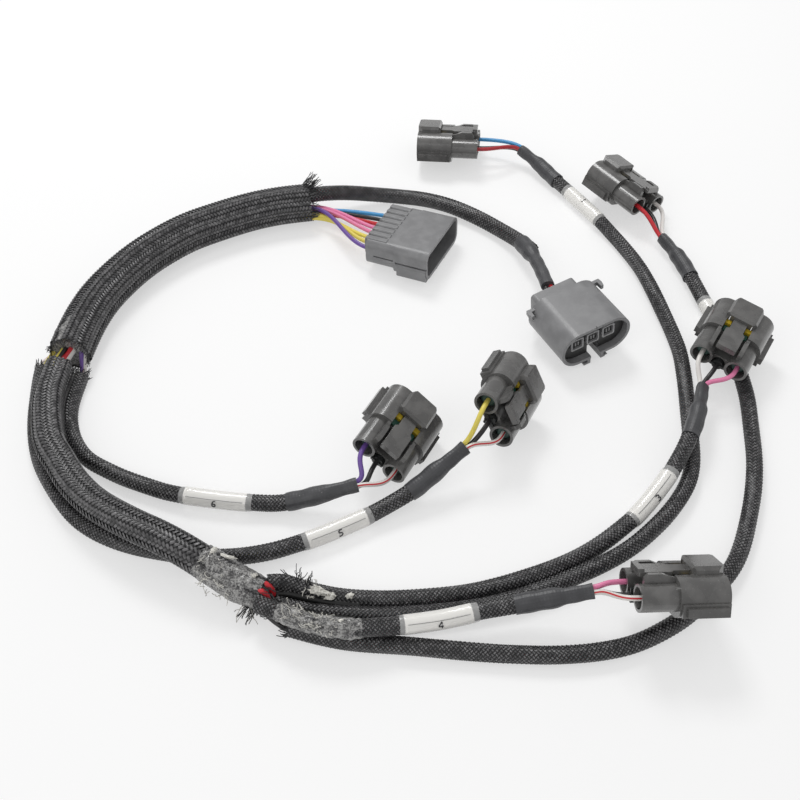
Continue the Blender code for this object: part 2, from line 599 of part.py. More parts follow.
def collar(name, path, start, end, radius, wall, low, high, look):
    """A smear of hardened glue: part of a band round a cord, open underneath."""
    run = stretch(path, start, end)
    ring_steps = 10
    angles = [math.radians(low + (high - low) * i / ring_steps) for i in range(ring_steps + 1)]
    profile = [((radius + wall) * math.cos(a), (radius + wall) * math.sin(a)) for a in angles]
    profile += [(radius * math.cos(a), radius * math.sin(a)) for a in reversed(angles)]
    outline = bpy.data.curves.new(f"{name}_profile", "CURVE")
    outline.dimensions = "2D"
    spline = outline.splines.new("POLY")
    spline.points.add(len(profile) - 1)
    for point, (across, high_up) in zip(spline.points, profile):
        point.co = (across * MM, high_up * MM, 0.0, 1.0)
    spline.use_cyclic_u = True
    section = bpy.data.objects.new(f"{name}_profile", outline)
    CUTTERS.objects.link(section)
    section.hide_render = True
    swept = tube(name, run, 1.0, CUTTERS)
    swept.data.bevel_mode = "OBJECT"
    swept.data.bevel_object = section
    made = as_mesh(swept, CUTTERS)
    return piece(name, fuse(name, [made]), look)


clear_scene()
PARTS = collection("ignition_coil_wiring_harness")
CUTTERS = collection("harness_cutters")
LOOKS = {
    "braid": material("black_braid", BRAID, 0.75),
    "shrink": material("heat_shrink", SHRINK, 0.45),
    "label": material("white_label", LABEL, 0.30),
    "housing": material("grey_nylon", HOUSING, 0.42),
    "plug": material("light_grey_nylon", PLUG_GREY, 0.45),
    "retainer": material("yellow_retainer", YELLOW, 0.40),
    "seal": material("green_rubber", GREEN, 0.55),
    "glue": material("dried_glue", GLUE, 0.35),
    "brass": material("plated_pins", BRASS, 0.30, 0.9),
    "wires_1": material("wire_blue_black_red", RED, 0.4),
    "wires_2": material("wire_red_black_white", RED, 0.4),
    "wires_3": material("wire_white_black_pink", PINK, 0.4),
    "wires_4": material("wire_pink_black_white", PINK, 0.4),
    "wires_5": material("wire_yellow_black_white", WHITE, 0.4),
    "wires_6": material("wire_purple_black_white", PURPLE, 0.4),
}
core_w = CORE_W + 2 * GAP
core_h = CORE_H + 2 * GAP
MESHES = {
    "housing": coil_housing(),
    "seal": ring("seal", core_w + 3.2, core_h + 2.4, 4.0, 1.2,
                 SEAL_START, SEAL_START + SEAL_LENGTH),
    "retainer": ring("retainer", core_w + 3.2, core_h + 2.4, 4.0, 1.2,
                     RETAINER_START, RETAINER_START + RETAINER_LENGTH, tabs=(-5.0, 5.0)),
}

trunk_path = smooth_route(TRUNK, TRUNK_R * 1.2)
trunk = tube_mesh("trunk", trunk_path, TRUNK_R * MM, CUTTERS, resolution=5)
trunk_mouths = [open_end(trunk_path, 0.012, (TRUNK_R - TRUNK_MOUTH_WALL) * MM, at_start)
                for at_start in (True, False)]
piece("trunk_sleeve", fuse("trunk_sleeve", [trunk], trunk_mouths), LOOKS["braid"])

mid_path = smooth_route(MID, MID_R * 1.5)
mid = tube_mesh("mid", mid_path, MID_R * MM, CUTTERS, resolution=4)
mid_mouths = [open_end(mid_path, 0.010, (MID_R - MID_MOUTH_WALL) * MM, at_start)
              for at_start in (True, False)]
piece("mid_sleeve", fuse("mid_sleeve", [mid], mid_mouths), LOOKS["braid"])

for coil in range(1, 7):
    branch(coil)

# The oval plug's branch leaves the trunk's upper end beside the eight plug wires.
power_path = smooth_route(POWER, POWER_SLEEVE_R * 2 / POINTS_PER_DIAMETER)
power_total = lengths(power_path)[-1]
power_end = power_total - 0.008
power = tube_mesh("power", stretch(power_path, 0.0, power_end), POWER_SLEEVE_R * MM, CUTTERS)
piece("power_sleeve", fuse("power_sleeve", [power]), LOOKS["braid"])
boot_start = power_total - 0.030
boot_run = stretch(power_path, boot_start, power_total, (power_end + 0.001, power_end + 0.004))
boot_size = [POWER_SLEEVE_R + GAP + BOOT_WALL if s <= power_end - boot_start + 0.0012 else 4.1
             for s in lengths(boot_run)]
power_boot = shell("boot", boot_run, np.array(boot_size) * MM, BOOT_WALL * MM, CUTTERS)
piece("power_heat_shrink", fuse("power_heat_shrink", [power_boot]), LOOKS["shrink"])

power_socket = socket("power_socket", POWER_POSE)
piece("power_plug_housing", power_housing(), LOOKS["plug"], power_socket)
piece("power_plug_insert", power_insert(), LOOKS["housing"], power_socket)
to_world = np.array(power_socket.matrix_world)
root = stretch(power_path, power_end + 0.0006, power_total - 0.0035)
ahead, side, up = frame_at(power_path[-1] - power_path[-2])
power_starts = [root[-1] - ahead * 0.001 + side * 0.0013, root[-1] - ahead * 0.001 - side * 0.0013]
power_targets = []
for start_at, y in zip(power_starts, (2.0, -4.0)):
    power_targets.append(wire_target(to_world, y, 0.6, 0.0045, start_at, ahead, 0.005, 0.003, 0.005))
bundle("power_plug_wires", power_starts, power_targets, root, 2.6 * MM, LOOKS["wires_1"])

main_socket = socket("main_socket", MAIN_POSE)
main_mesh, main_ways = main_housing()
piece("main_plug_housing", main_mesh, LOOKS["plug"], main_socket)
piece("main_plug_pins", main_pins(), LOOKS["brass"], main_socket)
to_world = np.array(main_socket.matrix_world)
ahead, side, up = frame_at(trunk_path[0] - trunk_path[1])
root_end = trunk_path[0] - side * 0.0023 - up * 0.0045 - ahead * 0.003
root = np.array([root_end - ahead * 0.006, root_end - ahead * 0.003, root_end])
main_starts = []
main_targets = []
for index, y in enumerate(reversed(main_ways)):
    row, column = divmod(index, 4)
    start_at = root_end - ahead * 0.001 + side * (1.5 - column) * 0.0017 + up * (row - 0.5) * 0.0022
    main_starts.append(start_at)
    main_targets.append(wire_target(to_world, y, 0.6, 0.0065, start_at, ahead, 0.004, 0.016, 0.018))
bundle("main_plug_wires", main_starts, main_targets, root, 3.4 * MM, LOOKS["wires_6"])


def loose_wires(name, root, root_r, ahead, reach, ends, look):
    """The bare wires at a breakout, from one sleeve's open end into the sleeves beyond."""
    root_end = root[-1]
    starts = []
    targets = []
    plugs = []
    for offset, path, sink, plug_r in ends:
        plugs.append(plug_r)
        start_at = root_end - ahead * 0.001 + offset
        inward = (path[1] - path[0]) / np.linalg.norm(path[1] - path[0])
        end = path[0] + inward * sink
        starts.append(start_at)
        near = path[0] - inward * 0.001
        leave = start_at + ahead * 0.0042
        targets.append((leave, leave + ahead * reach, near - inward * reach, near, end))
    bundle(name, starts, targets, root, root_r, look, plugs)


coil_paths = {n: smooth_route(COILS[n], SLEEVE_R * 2 / POINTS_PER_DIAMETER) for n in COILS}
ahead, side, up = frame_at(trunk_path[-1] - trunk_path[-2])
coil_plug = (SLEEVE_R - MOUTH_WALL - GAP) * MM
mid_plug = (MID_R - MID_MOUTH_WALL - GAP) * MM
trunk_plug = (TRUNK_R - TRUNK_MOUTH_WALL - GAP) * MM
first_ends = [(-side * 0.0025, coil_paths[5], 0.006, coil_plug),
              (-side * 0.0012, mid_path, 0.006, mid_plug),
              (side * 0.0012, mid_path + side * 0.003, 0.006, 0.0),
              (side * 0.0028, coil_paths[6], 0.006, coil_plug)]
if np.dot(coil_paths[5][0] - trunk_path[-1], side) > 0:
    first_ends = [(-offset, *rest) for offset, *rest in first_ends]
trunk_total = lengths(trunk_path)[-1]
loose_wires("breakout_1_wires", stretch(trunk_path, trunk_total - 0.009, trunk_total - 0.003),
            trunk_plug, ahead, 0.004, first_ends, LOOKS["wires_5"])
ahead, side, up = frame_at(mid_path[-1] - mid_path[-2])
second_ends = [(side * 0.0020 + up * 0.001, coil_paths[3], 0.006, coil_plug),
               (side * 0.0008 - up * 0.0015, coil_paths[1], 0.006, coil_plug),
               (-side * 0.0010 + up * 0.002, coil_paths[4], 0.006, coil_plug),
               (-side * 0.0022 - up * 0.001, coil_paths[2], 0.006, coil_plug)]
mid_total = lengths(mid_path)[-1]
loose_wires("breakout_2_wires", stretch(mid_path, mid_total - 0.008, mid_total - 0.003),
            mid_plug, ahead, 0.005, second_ends, LOOKS["wires_2"])

mid_total = lengths(mid_path)[-1]
collar("glue_patch_mid", mid_path, mid_total - 0.034, mid_total - 0.004, MID_R + GAP, 0.7, 5, 175,
       LOOKS["glue"])
collar("glue_patch_coil_4", coil_paths[4], 0.004, 0.032, SLEEVE_R + GAP, 0.7, 10, 170,
       LOOKS["glue"])
collar("glue_patch_trunk", trunk_path, lengths(trunk_path)[-1] - 0.016,
       lengths(trunk_path)[-1] - 0.002, TRUNK_R + GAP, 0.6, -20, 75, LOOKS["glue"])

for guide in CUTTERS.objects:
    guide.hide_render = True
    guide.display_type = "WIRE"
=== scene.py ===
# %% [markdown]
# # A six-coil ignition wiring harness on a white table
#
# The object is an engine's ignition harness, laid out flat and photographed from above on white.
# A thick braided trunk runs from two grey engine plugs round to a first split. Two coil branches
# leave there, and a thinner bundle goes on to a second split with four more. Each branch is a
# braided sleeve over three wires, with a number label, a heat-shrink boot and a latched plug.
#
# Nearly everything here follows a path, so the lesson is mostly about paths: one smooth curve
# for each branch, and then sleeves, wires, labels and boots that are all built along it.

import json
import math

import bmesh
import bpy
import numpy as np
from mathutils import Euler, Matrix, Vector

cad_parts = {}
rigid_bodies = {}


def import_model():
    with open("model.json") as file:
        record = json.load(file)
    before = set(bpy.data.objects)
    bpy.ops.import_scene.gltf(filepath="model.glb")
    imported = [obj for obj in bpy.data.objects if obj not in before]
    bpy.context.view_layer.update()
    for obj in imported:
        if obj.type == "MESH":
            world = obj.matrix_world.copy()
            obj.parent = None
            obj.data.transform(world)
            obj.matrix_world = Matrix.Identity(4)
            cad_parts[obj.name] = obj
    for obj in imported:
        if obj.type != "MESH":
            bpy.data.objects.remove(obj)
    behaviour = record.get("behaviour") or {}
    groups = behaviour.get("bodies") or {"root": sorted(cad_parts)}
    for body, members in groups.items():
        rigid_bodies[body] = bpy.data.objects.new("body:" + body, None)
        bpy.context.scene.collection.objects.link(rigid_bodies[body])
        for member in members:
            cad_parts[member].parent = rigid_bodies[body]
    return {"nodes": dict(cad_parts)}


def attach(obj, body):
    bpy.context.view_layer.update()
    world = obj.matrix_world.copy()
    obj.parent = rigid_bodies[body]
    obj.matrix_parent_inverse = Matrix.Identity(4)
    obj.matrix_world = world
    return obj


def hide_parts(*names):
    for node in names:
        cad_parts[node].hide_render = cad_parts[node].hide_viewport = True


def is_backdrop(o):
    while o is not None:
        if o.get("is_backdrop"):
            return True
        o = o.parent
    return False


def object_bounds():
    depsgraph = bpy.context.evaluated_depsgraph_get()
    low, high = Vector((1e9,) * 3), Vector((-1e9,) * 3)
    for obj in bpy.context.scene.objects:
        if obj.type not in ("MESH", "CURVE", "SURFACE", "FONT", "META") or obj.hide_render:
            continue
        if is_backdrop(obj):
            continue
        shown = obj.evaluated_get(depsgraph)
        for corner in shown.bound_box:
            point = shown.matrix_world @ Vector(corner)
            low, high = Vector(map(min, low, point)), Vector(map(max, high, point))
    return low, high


for leftover in list(bpy.data.objects):
    bpy.data.objects.remove(leftover)
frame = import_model()
cad_low, cad_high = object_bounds()
MM = 0.001
cad_box = [round((b - a) / MM) for a, b in zip(cad_low, cad_high)]
print("solids:", len(frame["nodes"]), "in a box of", cad_box, "mm")

# %% [markdown]
# ## Camera, light and table
#
# The camera comes first, because every later choice is judged through it. The photograph looks
# down at about 48 degrees from half a metre away, so a 50 mm lens on a 36 mm sensor repeats it.
# The routes below were read off the picture, in millimetres from its middle. The object's own
# origin is the middle of its box, so one offset moves both the camera and the routes.

# %% Camera
CENTRE_X = 2.9
CENTRE_Y = 33.6
CAMERA_AWAY = 0.52
CAMERA_UP = math.radians(48)


def in_scene(made):
    """Puts a new object into the scene and gives it back."""
    bpy.context.scene.collection.objects.link(made)
    return made


camera = bpy.data.objects.new("photo_camera", bpy.data.cameras.new("photo_camera"))
camera.data.lens = 50
camera.data.sensor_width = 36
camera.location = (-CENTRE_X * MM, -CENTRE_Y * MM - CAMERA_AWAY * math.cos(CAMERA_UP),
                   CAMERA_AWAY * math.sin(CAMERA_UP))
camera.rotation_euler = (math.pi / 2 - CAMERA_UP, 0, 0)
bpy.context.scene.camera = in_scene(camera)
bpy.context.scene.view_settings.view_transform = "Standard"
print("camera at", [round(v, 3) for v in camera.location])

# %% [markdown]
# ## Arithmetic for node trees
#
# A pattern such as a stripe is a formula. Node graphs hide formulas behind dozens of boxes, so
# this small class wraps one output socket and gives it Python's operators. The same Math node
# exists in shader trees and in Geometry Nodes, so one class serves both.

# %% A number that lives in a node tree
class Field:
    """One number that varies over a surface or along a curve, used in plain arithmetic."""

    def __init__(self, tree, socket):
        self.tree = tree
        self.socket = socket

    def math(self, operation, *values):
        node = self.tree.nodes.new("ShaderNodeMath")
        node.operation = operation
        for into, value in zip(node.inputs, values):
            put(self.tree, value, into)
        return Field(self.tree, node.outputs[0])

    def __add__(self, other):
        return self.math("ADD", self, other)

    def __sub__(self, other):
        return self.math("SUBTRACT", self, other)

    def __rsub__(self, other):
        return self.math("SUBTRACT", other, self)

    def __mul__(self, other):
        return self.math("MULTIPLY", self, other)

    def __truediv__(self, other):
        return self.math("DIVIDE", self, other)

    def sin(self):
        return self.math("SINE", self)

    def cos(self):
        return self.math("COSINE", self)

    def ramp(self, low, high):
        """0 below low, 1 above high, and smooth between."""
        node = self.tree.nodes.new("ShaderNodeMapRange")
        node.interpolation_type = "SMOOTHSTEP"
        for name, value in (("Value", self), ("From Min", low), ("From Max", high)):
            put(self.tree, value, node.inputs[name])
        return Field(self.tree, node.outputs["Result"])


def put(tree, value, into):
    """Links a field to a socket, or sets a plain value on it."""
    if isinstance(value, Field):
        tree.links.new(value.socket, into)
    elif isinstance(value, bpy.types.NodeSocket):
        tree.links.new(value, into)
    else:
        into.default_value = value


# %% [markdown]
# ## Finishes
#
# Each finish is a Principled shader whose base colour was judged against the photograph.
# `finish` makes one, `mixed` blends two colours by a field and `paint` puts the blend on.
# Patterns read the Object coordinates, or the UV map that `loft` writes further down: U runs
# along a piece in centimetres and V once round it.

# %% Helpers for finishes
def finish(name, colour, roughness, metallic=0.0, coat=0.0):
    made = bpy.data.materials.new(name)
    made.use_nodes = True
    shader = made.node_tree.nodes["Principled BSDF"]
    shader.inputs["Base Color"].default_value = (*colour, 1.0)
    shader.inputs["Roughness"].default_value = roughness
    shader.inputs["Metallic"].default_value = metallic
    shader.inputs["Coat Weight"].default_value = coat
    return made


def shader_of(material):
    return material.node_tree.nodes["Principled BSDF"]


def mixed(material, factor, first, second):
    """A colour socket that goes from the first colour to the second as the factor rises."""
    tree = material.node_tree
    node = tree.nodes.new("ShaderNodeMix")
    node.data_type = "RGBA"
    put(tree, factor, node.inputs[0])
    for value, into in ((first, node.inputs[6]), (second, node.inputs[7])):
        put(tree, value if isinstance(value, bpy.types.NodeSocket) else (*value, 1.0), into)
    return node.outputs[2]


def paint(material, colour):
    """Lets a colour socket drive the base colour."""
    put(material.node_tree, colour, shader_of(material).inputs["Base Color"])


def noise(material, scale, detail):
    """Noise of about the given number of blobs to a metre."""
    tree = material.node_tree
    place = tree.nodes.new("ShaderNodeTexCoord")
    node = tree.nodes.new("ShaderNodeTexNoise")
    node.inputs["Scale"].default_value = scale
    node.inputs["Detail"].default_value = detail
    tree.links.new(place.outputs["Object"], node.inputs["Vector"])
    return Field(tree, node.outputs["Fac"])


def wrap(material):
    """The fields along (cm) and around (0 to 1) a lofted piece."""
    tree = material.node_tree
    place = tree.nodes.new("ShaderNodeTexCoord")
    split = tree.nodes.new("ShaderNodeSeparateXYZ")
    tree.links.new(place.outputs["UV"], split.inputs[0])
    return Field(tree, split.outputs[0]), Field(tree, split.outputs[1])


def bump(material, height, distance, strength):
    """Lets a height field tilt the light on the surface. The distance is in metres."""
    tree = material.node_tree
    node = tree.nodes.new("ShaderNodeBump")
    node.inputs["Distance"].default_value = distance
    node.inputs["Strength"].default_value = strength
    put(tree, height, node.inputs["Height"])
    tree.links.new(node.outputs["Normal"], shader_of(material).inputs["Normal"])


# %% [markdown]
# A white studio table has no edge, and its shadows are faint. So this one is part plain surface,
# which takes the shadows, and part glow, which lifts them towards white. What lies behind it is
# white too.

# %% Table and background
TABLE_SIZE = 8
# The share of plain white glow in the table's look, and how bright that glow is.
TABLE_GLOW = 0.5
GLOW_STRENGTH = 1.08
# How bright the white surroundings are as a light. The camera sees them as pure white.
WORLD_LIGHT = 0.55


def table_finish():
    """White for the camera, with the shadows kept but softened as in a studio picture."""
    made = finish("white_table", (0.92, 0.92, 0.92), 0.9)
    tree = made.node_tree
    shader_of(made).inputs["Specular IOR Level"].default_value = 0.0
    glow = tree.nodes.new("ShaderNodeEmission")
    glow.inputs["Strength"].default_value = GLOW_STRENGTH
    seen = tree.nodes.new("ShaderNodeLightPath")
    mix = tree.nodes.new("ShaderNodeMixShader")
    direct = Field(tree, seen.outputs["Is Camera Ray"])
    mirrored = Field(tree, seen.outputs["Is Glossy Ray"])
    put(tree, direct * TABLE_GLOW + mirrored * TABLE_GLOW, mix.inputs[0])
    tree.links.new(shader_of(made).outputs[0], mix.inputs[1])
    tree.links.new(glow.outputs[0], mix.inputs[2])
    tree.links.new(mix.outputs[0], tree.nodes["Material Output"].inputs["Surface"])
    return made


bpy.ops.mesh.primitive_plane_add(size=TABLE_SIZE)
table = bpy.context.object
table.name = "table"
table.data.materials.append(table_finish())
table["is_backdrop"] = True

world = bpy.data.worlds.new("studio")
world.use_nodes = True
bpy.context.scene.world = world
sky = world.node_tree.nodes["Background"]
paths = world.node_tree.nodes.new("ShaderNodeLightPath")
seen_as_white = Field(world.node_tree, paths.outputs["Is Camera Ray"])
put(world.node_tree, seen_as_white * (1 - WORLD_LIGHT) + WORLD_LIGHT, sky.inputs["Strength"])
sky.inputs["Color"].default_value = (1, 1, 1, 1)


# %% [markdown]
# Two soft square lamps stand in for the studio's boxes: one high behind the object, which draws
# the pale streaks on the plugs and sleeves, and a broader, weaker one at the front left.

# %% Lamps
def soft_lamp(name, place, aim, size, watts):
    lamp = bpy.data.objects.new(name, bpy.data.lights.new(name, "AREA"))
    lamp.data.shape = "SQUARE"
    lamp.data.size = size
    lamp.data.energy = watts
    lamp.location = place
    lamp.rotation_euler = (Vector(aim) - Vector(place)).to_track_quat("-Z", "Y").to_euler()
    in_scene(lamp)


soft_lamp("back_box", (-0.15, 0.55, 0.85), (0, 0.02, 0), size=0.32, watts=4.0)
soft_lamp("front_box", (-0.55, -0.65, 0.70), (0, 0, 0), size=0.60, watts=1.6)
print("table, white surroundings and two lamps are in place")

# %% [markdown]
# ## Routes
#
# Each route is a short list of points, placed over the picture: x and y on the table, and
# the height of the cord's centre, in millimetres. The plugs' places and turns are listed with
# them, because each branch has to arrive where its plug lies.

# %% Sizes and routes
# Outer radii and lengths, in millimetres.
SLEEVE_R = 3.55
POWER_SLEEVE_R = 4.0
TRUNK_R = 10.2
MID_R = 7.0
WIRE_R = 1.1
BOOT_LENGTH = 31.0
BOOT_OVER_WIRES = 14.0
# How far each label's middle lies back from the end of its branch's route.
LABEL_BACK = {1: 56.0, 2: 65.0, 3: 67.0, 4: 61.5, 5: 66.0, 6: 62.0}

TRUNK = [(-49, 134, 10.6), (-65, 131, 10.6), (-80, 126, 10.6), (-96, 118, 10.6),
         (-111, 109, 10.6), (-124, 97, 10.6), (-134, 85, 10.6), (-142, 72, 10.6),
         (-149, 57, 10.6), (-153, 42, 10.6), (-155, 29, 10.6), (-156, 20, 10.6)]
MID = [(-159, 11, 11.3), (-159.5, -10, 12), (-153.5, -35, 13), (-145.5, -48, 13),
       (-137.5, -59.5, 13), (-126, -71, 13.8), (-110, -82, 16), (-95.5, -90, 17),
       (-82, -97.5, 15.5), (-68, -105, 10.8), (-55, -110.5, 7.8)]
COILS = {
    1: [(-46, -114, 4.6), (-36, -116, 4), (-24, -117.3, 4), (-12, -118, 4), (0, -118, 4),
        (16, -116.6, 4), (32, -114, 4), (48, -109.5, 4), (64, -103.2, 4), (79, -96, 4),
        (93, -87.5, 4), (105, -77.5, 4), (116, -66, 4), (124.5, -53, 4), (128.8, -40, 4),
        (131, -24, 4), (132.6, -7, 4), (133.6, 5, 4), (134.2, 16, 4), (134.5, 28, 4),
        (133.5, 40, 4), (131.5, 54, 4), (128, 73, 4), (123.5, 91, 4), (118, 106, 4),
        (113.5, 116, 4), (108, 126, 4.8), (99.5, 141, 4.9), (91, 155.5, 5), (84.5, 166, 5.5),
        (77.5, 175.5, 7.5), (69, 184, 10)],
    2: [(-43, -123.5, 4.0), (-31, -127, 4), (-19, -129.5, 4), (0, -131.3, 4), (15, -132.7, 4),
        (31, -134, 4), (46, -135, 4), (61, -135.5, 4), (77, -134, 4), (93, -129.5, 4),
        (112, -119, 4), (125, -107, 4), (135, -96, 4), (143, -82, 4), (151, -61, 4),
        (156, -41, 4), (159, -22, 4), (161, -5, 4), (161, 9, 4), (160, 24, 4.4), (158, 37, 4.8),
        (155.5, 48, 5.1), (151.5, 67, 5.1), (149.5, 77, 5.3), (147.5, 87, 5.5), (143.5, 98.5, 6.5),
        (138.5, 109, 7.5)],
    3: [(-45, -106.3, 9), (-35, -108.2, 6.5), (-24, -109.8, 4.5), (-12, -110.6, 4),
        (0, -110.5, 4), (16, -109, 4), (32, -106.4, 4), (48, -101.8, 4), (65, -94.8, 4),
        (82, -85, 4.2), (96, -74, 5), (104, -66, 6), (113, -55.5, 8.5), (119.5, -46.5, 10.5),
        (125.5, -37, 12), (131, -25.5, 13.5), (135, -14, 14), (138, -4, 13.5)],
    4: [(-49, -120, 12), (-39, -124.8, 12.5), (-28, -128, 12.8), (-19, -129, 12.5),
        (-8, -127.5, 11.5), (1, -126, 10.5), (16, -123.4, 10), (30, -120.2, 10.5),
        (40, -118.5, 11), (48, -117.3, 12), (62, -116, 14.5), (75, -114.8, 17)],
    5: [(-169, 15, 5.5), (-169, 7, 4.5), (-168, -4, 4), (-166, -16, 4), (-163, -28, 4),
        (-159, -39, 4), (-153, -50, 4), (-145.5, -61, 4), (-135.5, -72, 4), (-123, -80, 4),
        (-107, -86, 4), (-90, -89.5, 4), (-74, -90.5, 4), (-56, -88.5, 4), (-41, -84, 4.8),
        (-26, -77, 4.9), (-11, -69, 5.2), (4, -60.5, 8), (17, -51.5, 13.5), (28, -43.5, 18)],
    6: [(-150.5, 11, 4), (-151.5, 0, 4), (-151.5, -9, 4), (-150, -18, 4), (-146, -28, 4),
        (-138.5, -38, 4), (-128, -45, 4), (-118, -50.5, 4), (-104, -56, 4), (-94, -59, 4.8),
        (-79, -61.5, 4.8), (-65, -63.2, 4.8), (-53, -63.8, 5), (-43, -63.4, 7),
        (-30, -62, 10.5), (-18, -59.5, 12.5)],
}
POWER = [(-56, 135.8, 13.2), (-49, 137.3, 13.2), (-40, 140.5, 12.2), (-28, 144, 10),
         (-14, 146.5, 7), (0, 147, 5), (14, 144.5, 4.6), (28, 138.5, 4.6), (42, 129, 4.6),
         (53, 119, 5), (62, 107.5, 7), (68, 95.5, 10), (72, 84, 12.5)]
# Where each plug's rear lies, and its yaw, pitch and roll in degrees.
COIL_POSES = {
    1: ((45.0, 186.0, 12.0), (173.0, 2.0, 16.0)),
    2: ((133.5, 131.5, 11.0), (128.0, -3.0, 22.0)),
    3: ((146.6, 7.5, 17.4), (59.0, 0.0, 9.0)),
    4: ((88.0, -118.0, 22.8), (5.0, 5.0, -36.0)),
    5: ((40.4, -33.5, 24.2), (66.0, 12.0, 58.0)),
    6: ((-9.2, -48.5, 15.0), (62.5, 1.0, 33.0)),
}
MAIN_POSE = ((-11.0, 110.5, 9.3), (-24.0, -3.0, -4.0))
POWER_POSE = ((76.5, 56.0, 13.8), (-63.0, -1.0, 6.0))

# %% [markdown]
# A cubic curve goes smoothly through every listed point, but it repeats each small slip in them
# as well. So the curve is relaxed by averaging neighbours, and then cut into even steps.

# %% From listed points to smooth paths
# Points between two listed ones, averaging passes, and the millimetres from point to point.
CURVE_STEPS = 24
ROUTE_PASSES = 30
FINER_PASSES = 6
THIN_STEP = 2.0
THICK_STEP = 2.5
# Two points of a path stay at least this many metres apart.
CLOSEST = 0.0004


def lengths(path):
    """How far along a path each of its points lies."""
    return np.concatenate([[0.0], np.cumsum(np.linalg.norm(np.diff(path, axis=0), axis=1))])


def at_lengths(path, wanted):
    """The points that lie at the given lengths along a path."""
    along = lengths(path)
    return np.stack([np.interp(wanted, along, path[:, i]) for i in range(3)], axis=1)


def relaxed(points, passes):
    """The points after each inner one has moved towards its neighbours, pass by pass."""
    for _ in range(passes):
        points[1:-1] = 0.25 * points[:-2] + 0.5 * points[1:-1] + 0.25 * points[2:]
    return points


def smooth_route(points, spacing):
    """Evenly spaced points of a smooth curve, in metres. The spacing is in millimetres."""
    given = np.array(points, float)
    given[:, 0] -= CENTRE_X
    given[:, 1] -= CENTRE_Y
    ends = np.vstack([2 * given[0] - given[1], given, 2 * given[-1] - given[-2]])
    fine = []
    for a, b, c, d in zip(ends, ends[1:], ends[2:], ends[3:]):
        for t in np.linspace(0.0, 1.0, CURVE_STEPS, endpoint=False):
            fine.append(0.5 * (2 * b + (c - a) * t + (2 * a - 5 * b + 4 * c - d) * t * t
                               + (3 * b - a - 3 * c + d) * t ** 3))
    fine = relaxed(np.array(fine + [given[-1]]), ROUTE_PASSES)
    total = lengths(fine)[-1]
    count = max(int(round(total / spacing)), 3) + 1
    return at_lengths(fine, np.linspace(0.0, total, count)) * MM


def stretch(path, start, end):
    """The part of a path between two lengths, with the path's own points inside it."""
    inside = [s for s in lengths(path) if start + CLOSEST < s < end - CLOSEST]
    return at_lengths(path, [start, *inside, end])


TRUNK_PATH = smooth_route(TRUNK, THICK_STEP)
MID_PATH = smooth_route(MID, THICK_STEP)
POWER_PATH = smooth_route(POWER, THIN_STEP)
COIL_PATHS = {number: smooth_route(points, THIN_STEP) for number, points in COILS.items()}
for path in (TRUNK_PATH, MID_PATH, POWER_PATH, *COIL_PATHS.values()):
    print("a route of", len(path), "points,", round(lengths(path)[-1] / MM), "mm long")


# %% [markdown]
# ## Building along a path
#
# `frames` gives every point of a path three directions: ahead, level to the side, and up. That
# works because no path here runs straight up. `loft` puts a ring of points round each of them.
# The ring's radius may change along the path and around it, which is enough for wires, labels,
# boots and glue. `loft` also writes the UV map.

# %% Paths, rings and finished pieces
# Edges that bend more than this stay sharp, or are the ones that a bevel rounds.
SHARP = math.radians(38)


def frames(path):
    """For each point of a path: ahead, to the side (always level) and up."""
    ahead = np.gradient(path, axis=0)
    ahead /= np.linalg.norm(ahead, axis=1)[:, None]
    side = np.cross([0.0, 0.0, 1.0], ahead)
    side /= np.linalg.norm(side, axis=1)[:, None]
    return ahead, side, np.cross(ahead, side)


def finer(path, spacing):
    """The same smooth path with points this far apart, in metres."""
    total = lengths(path)[-1]
    wanted = np.linspace(0.0, total, max(int(total / spacing), 2) + 1)
    return relaxed(at_lengths(path, wanted), FINER_PASSES)


def stretch_of(path, start, end, spacing=0.0006):
    """The part of a path between two lengths, with fine points."""
    return finer(stretch(path, start, end), spacing)


def piece(name, mesh, look, slot, *replaced):
    """A finished piece: shaded smooth, riding on the harness, and standing for CAD nodes."""
    made = in_scene(bpy.data.objects.new(name, mesh))
    if look is not None:
        mesh.materials.clear()
        mesh.materials.append(look)
    if not mesh.has_custom_normals:
        mesh.shade_smooth()
        mesh.set_sharp_from_angle(angle=SHARP)
    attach(made, "root")
    if replaced:
        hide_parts(*replaced)
    return made


def face_outward(mesh):
    """Turns the front of every face to the outside."""
    shell = bmesh.new()
    shell.from_mesh(mesh)
    bmesh.ops.recalc_face_normals(shell, faces=shell.faces)
    shell.to_mesh(mesh)
    shell.free()


def loft(path, radius, sides, caps=True):
    """A mesh of rings along a path.

    The radius is one number of metres, or a function that gives it for arrays of the metres
    along the path and the angle round it.
    """
    side, up = frames(path)[1:]
    along = lengths(path)
    around = np.arange(sides) * 2 * math.pi / sides
    reach = radius(along[:, None], around[None, :]) if callable(radius) else radius
    reach = np.broadcast_to(reach, (len(path), sides))
    out = (side[:, None] * np.cos(around)[None, :, None]
           + up[:, None] * np.sin(around)[None, :, None])
    points = path[:, None] + out * reach[..., None]
    faces = [(i * sides + j, i * sides + (j + 1) % sides,
              (i + 1) * sides + (j + 1) % sides, (i + 1) * sides + j)
             for i in range(len(path) - 1) for j in range(sides)]
    if caps:
        faces += [tuple(range(sides))[::-1],
                  tuple(range((len(path) - 1) * sides, len(path) * sides))]
    mesh = bpy.data.meshes.new("loft")
    mesh.from_pydata(points.reshape(-1, 3).tolist(), [], faces)
    uv = mesh.uv_layers.new(name="wrap")
    for face in mesh.polygons:
        turned = face.index % sides == sides - 1
        for corner in face.loop_indices:
            vertex = mesh.loops[corner].vertex_index
            ring, step = divmod(vertex, sides)
            share = 1.0 if turned and step == 0 else step / sides
            uv.data[corner].uv = (along[ring] * 100, share)
    face_outward(mesh)
    return mesh


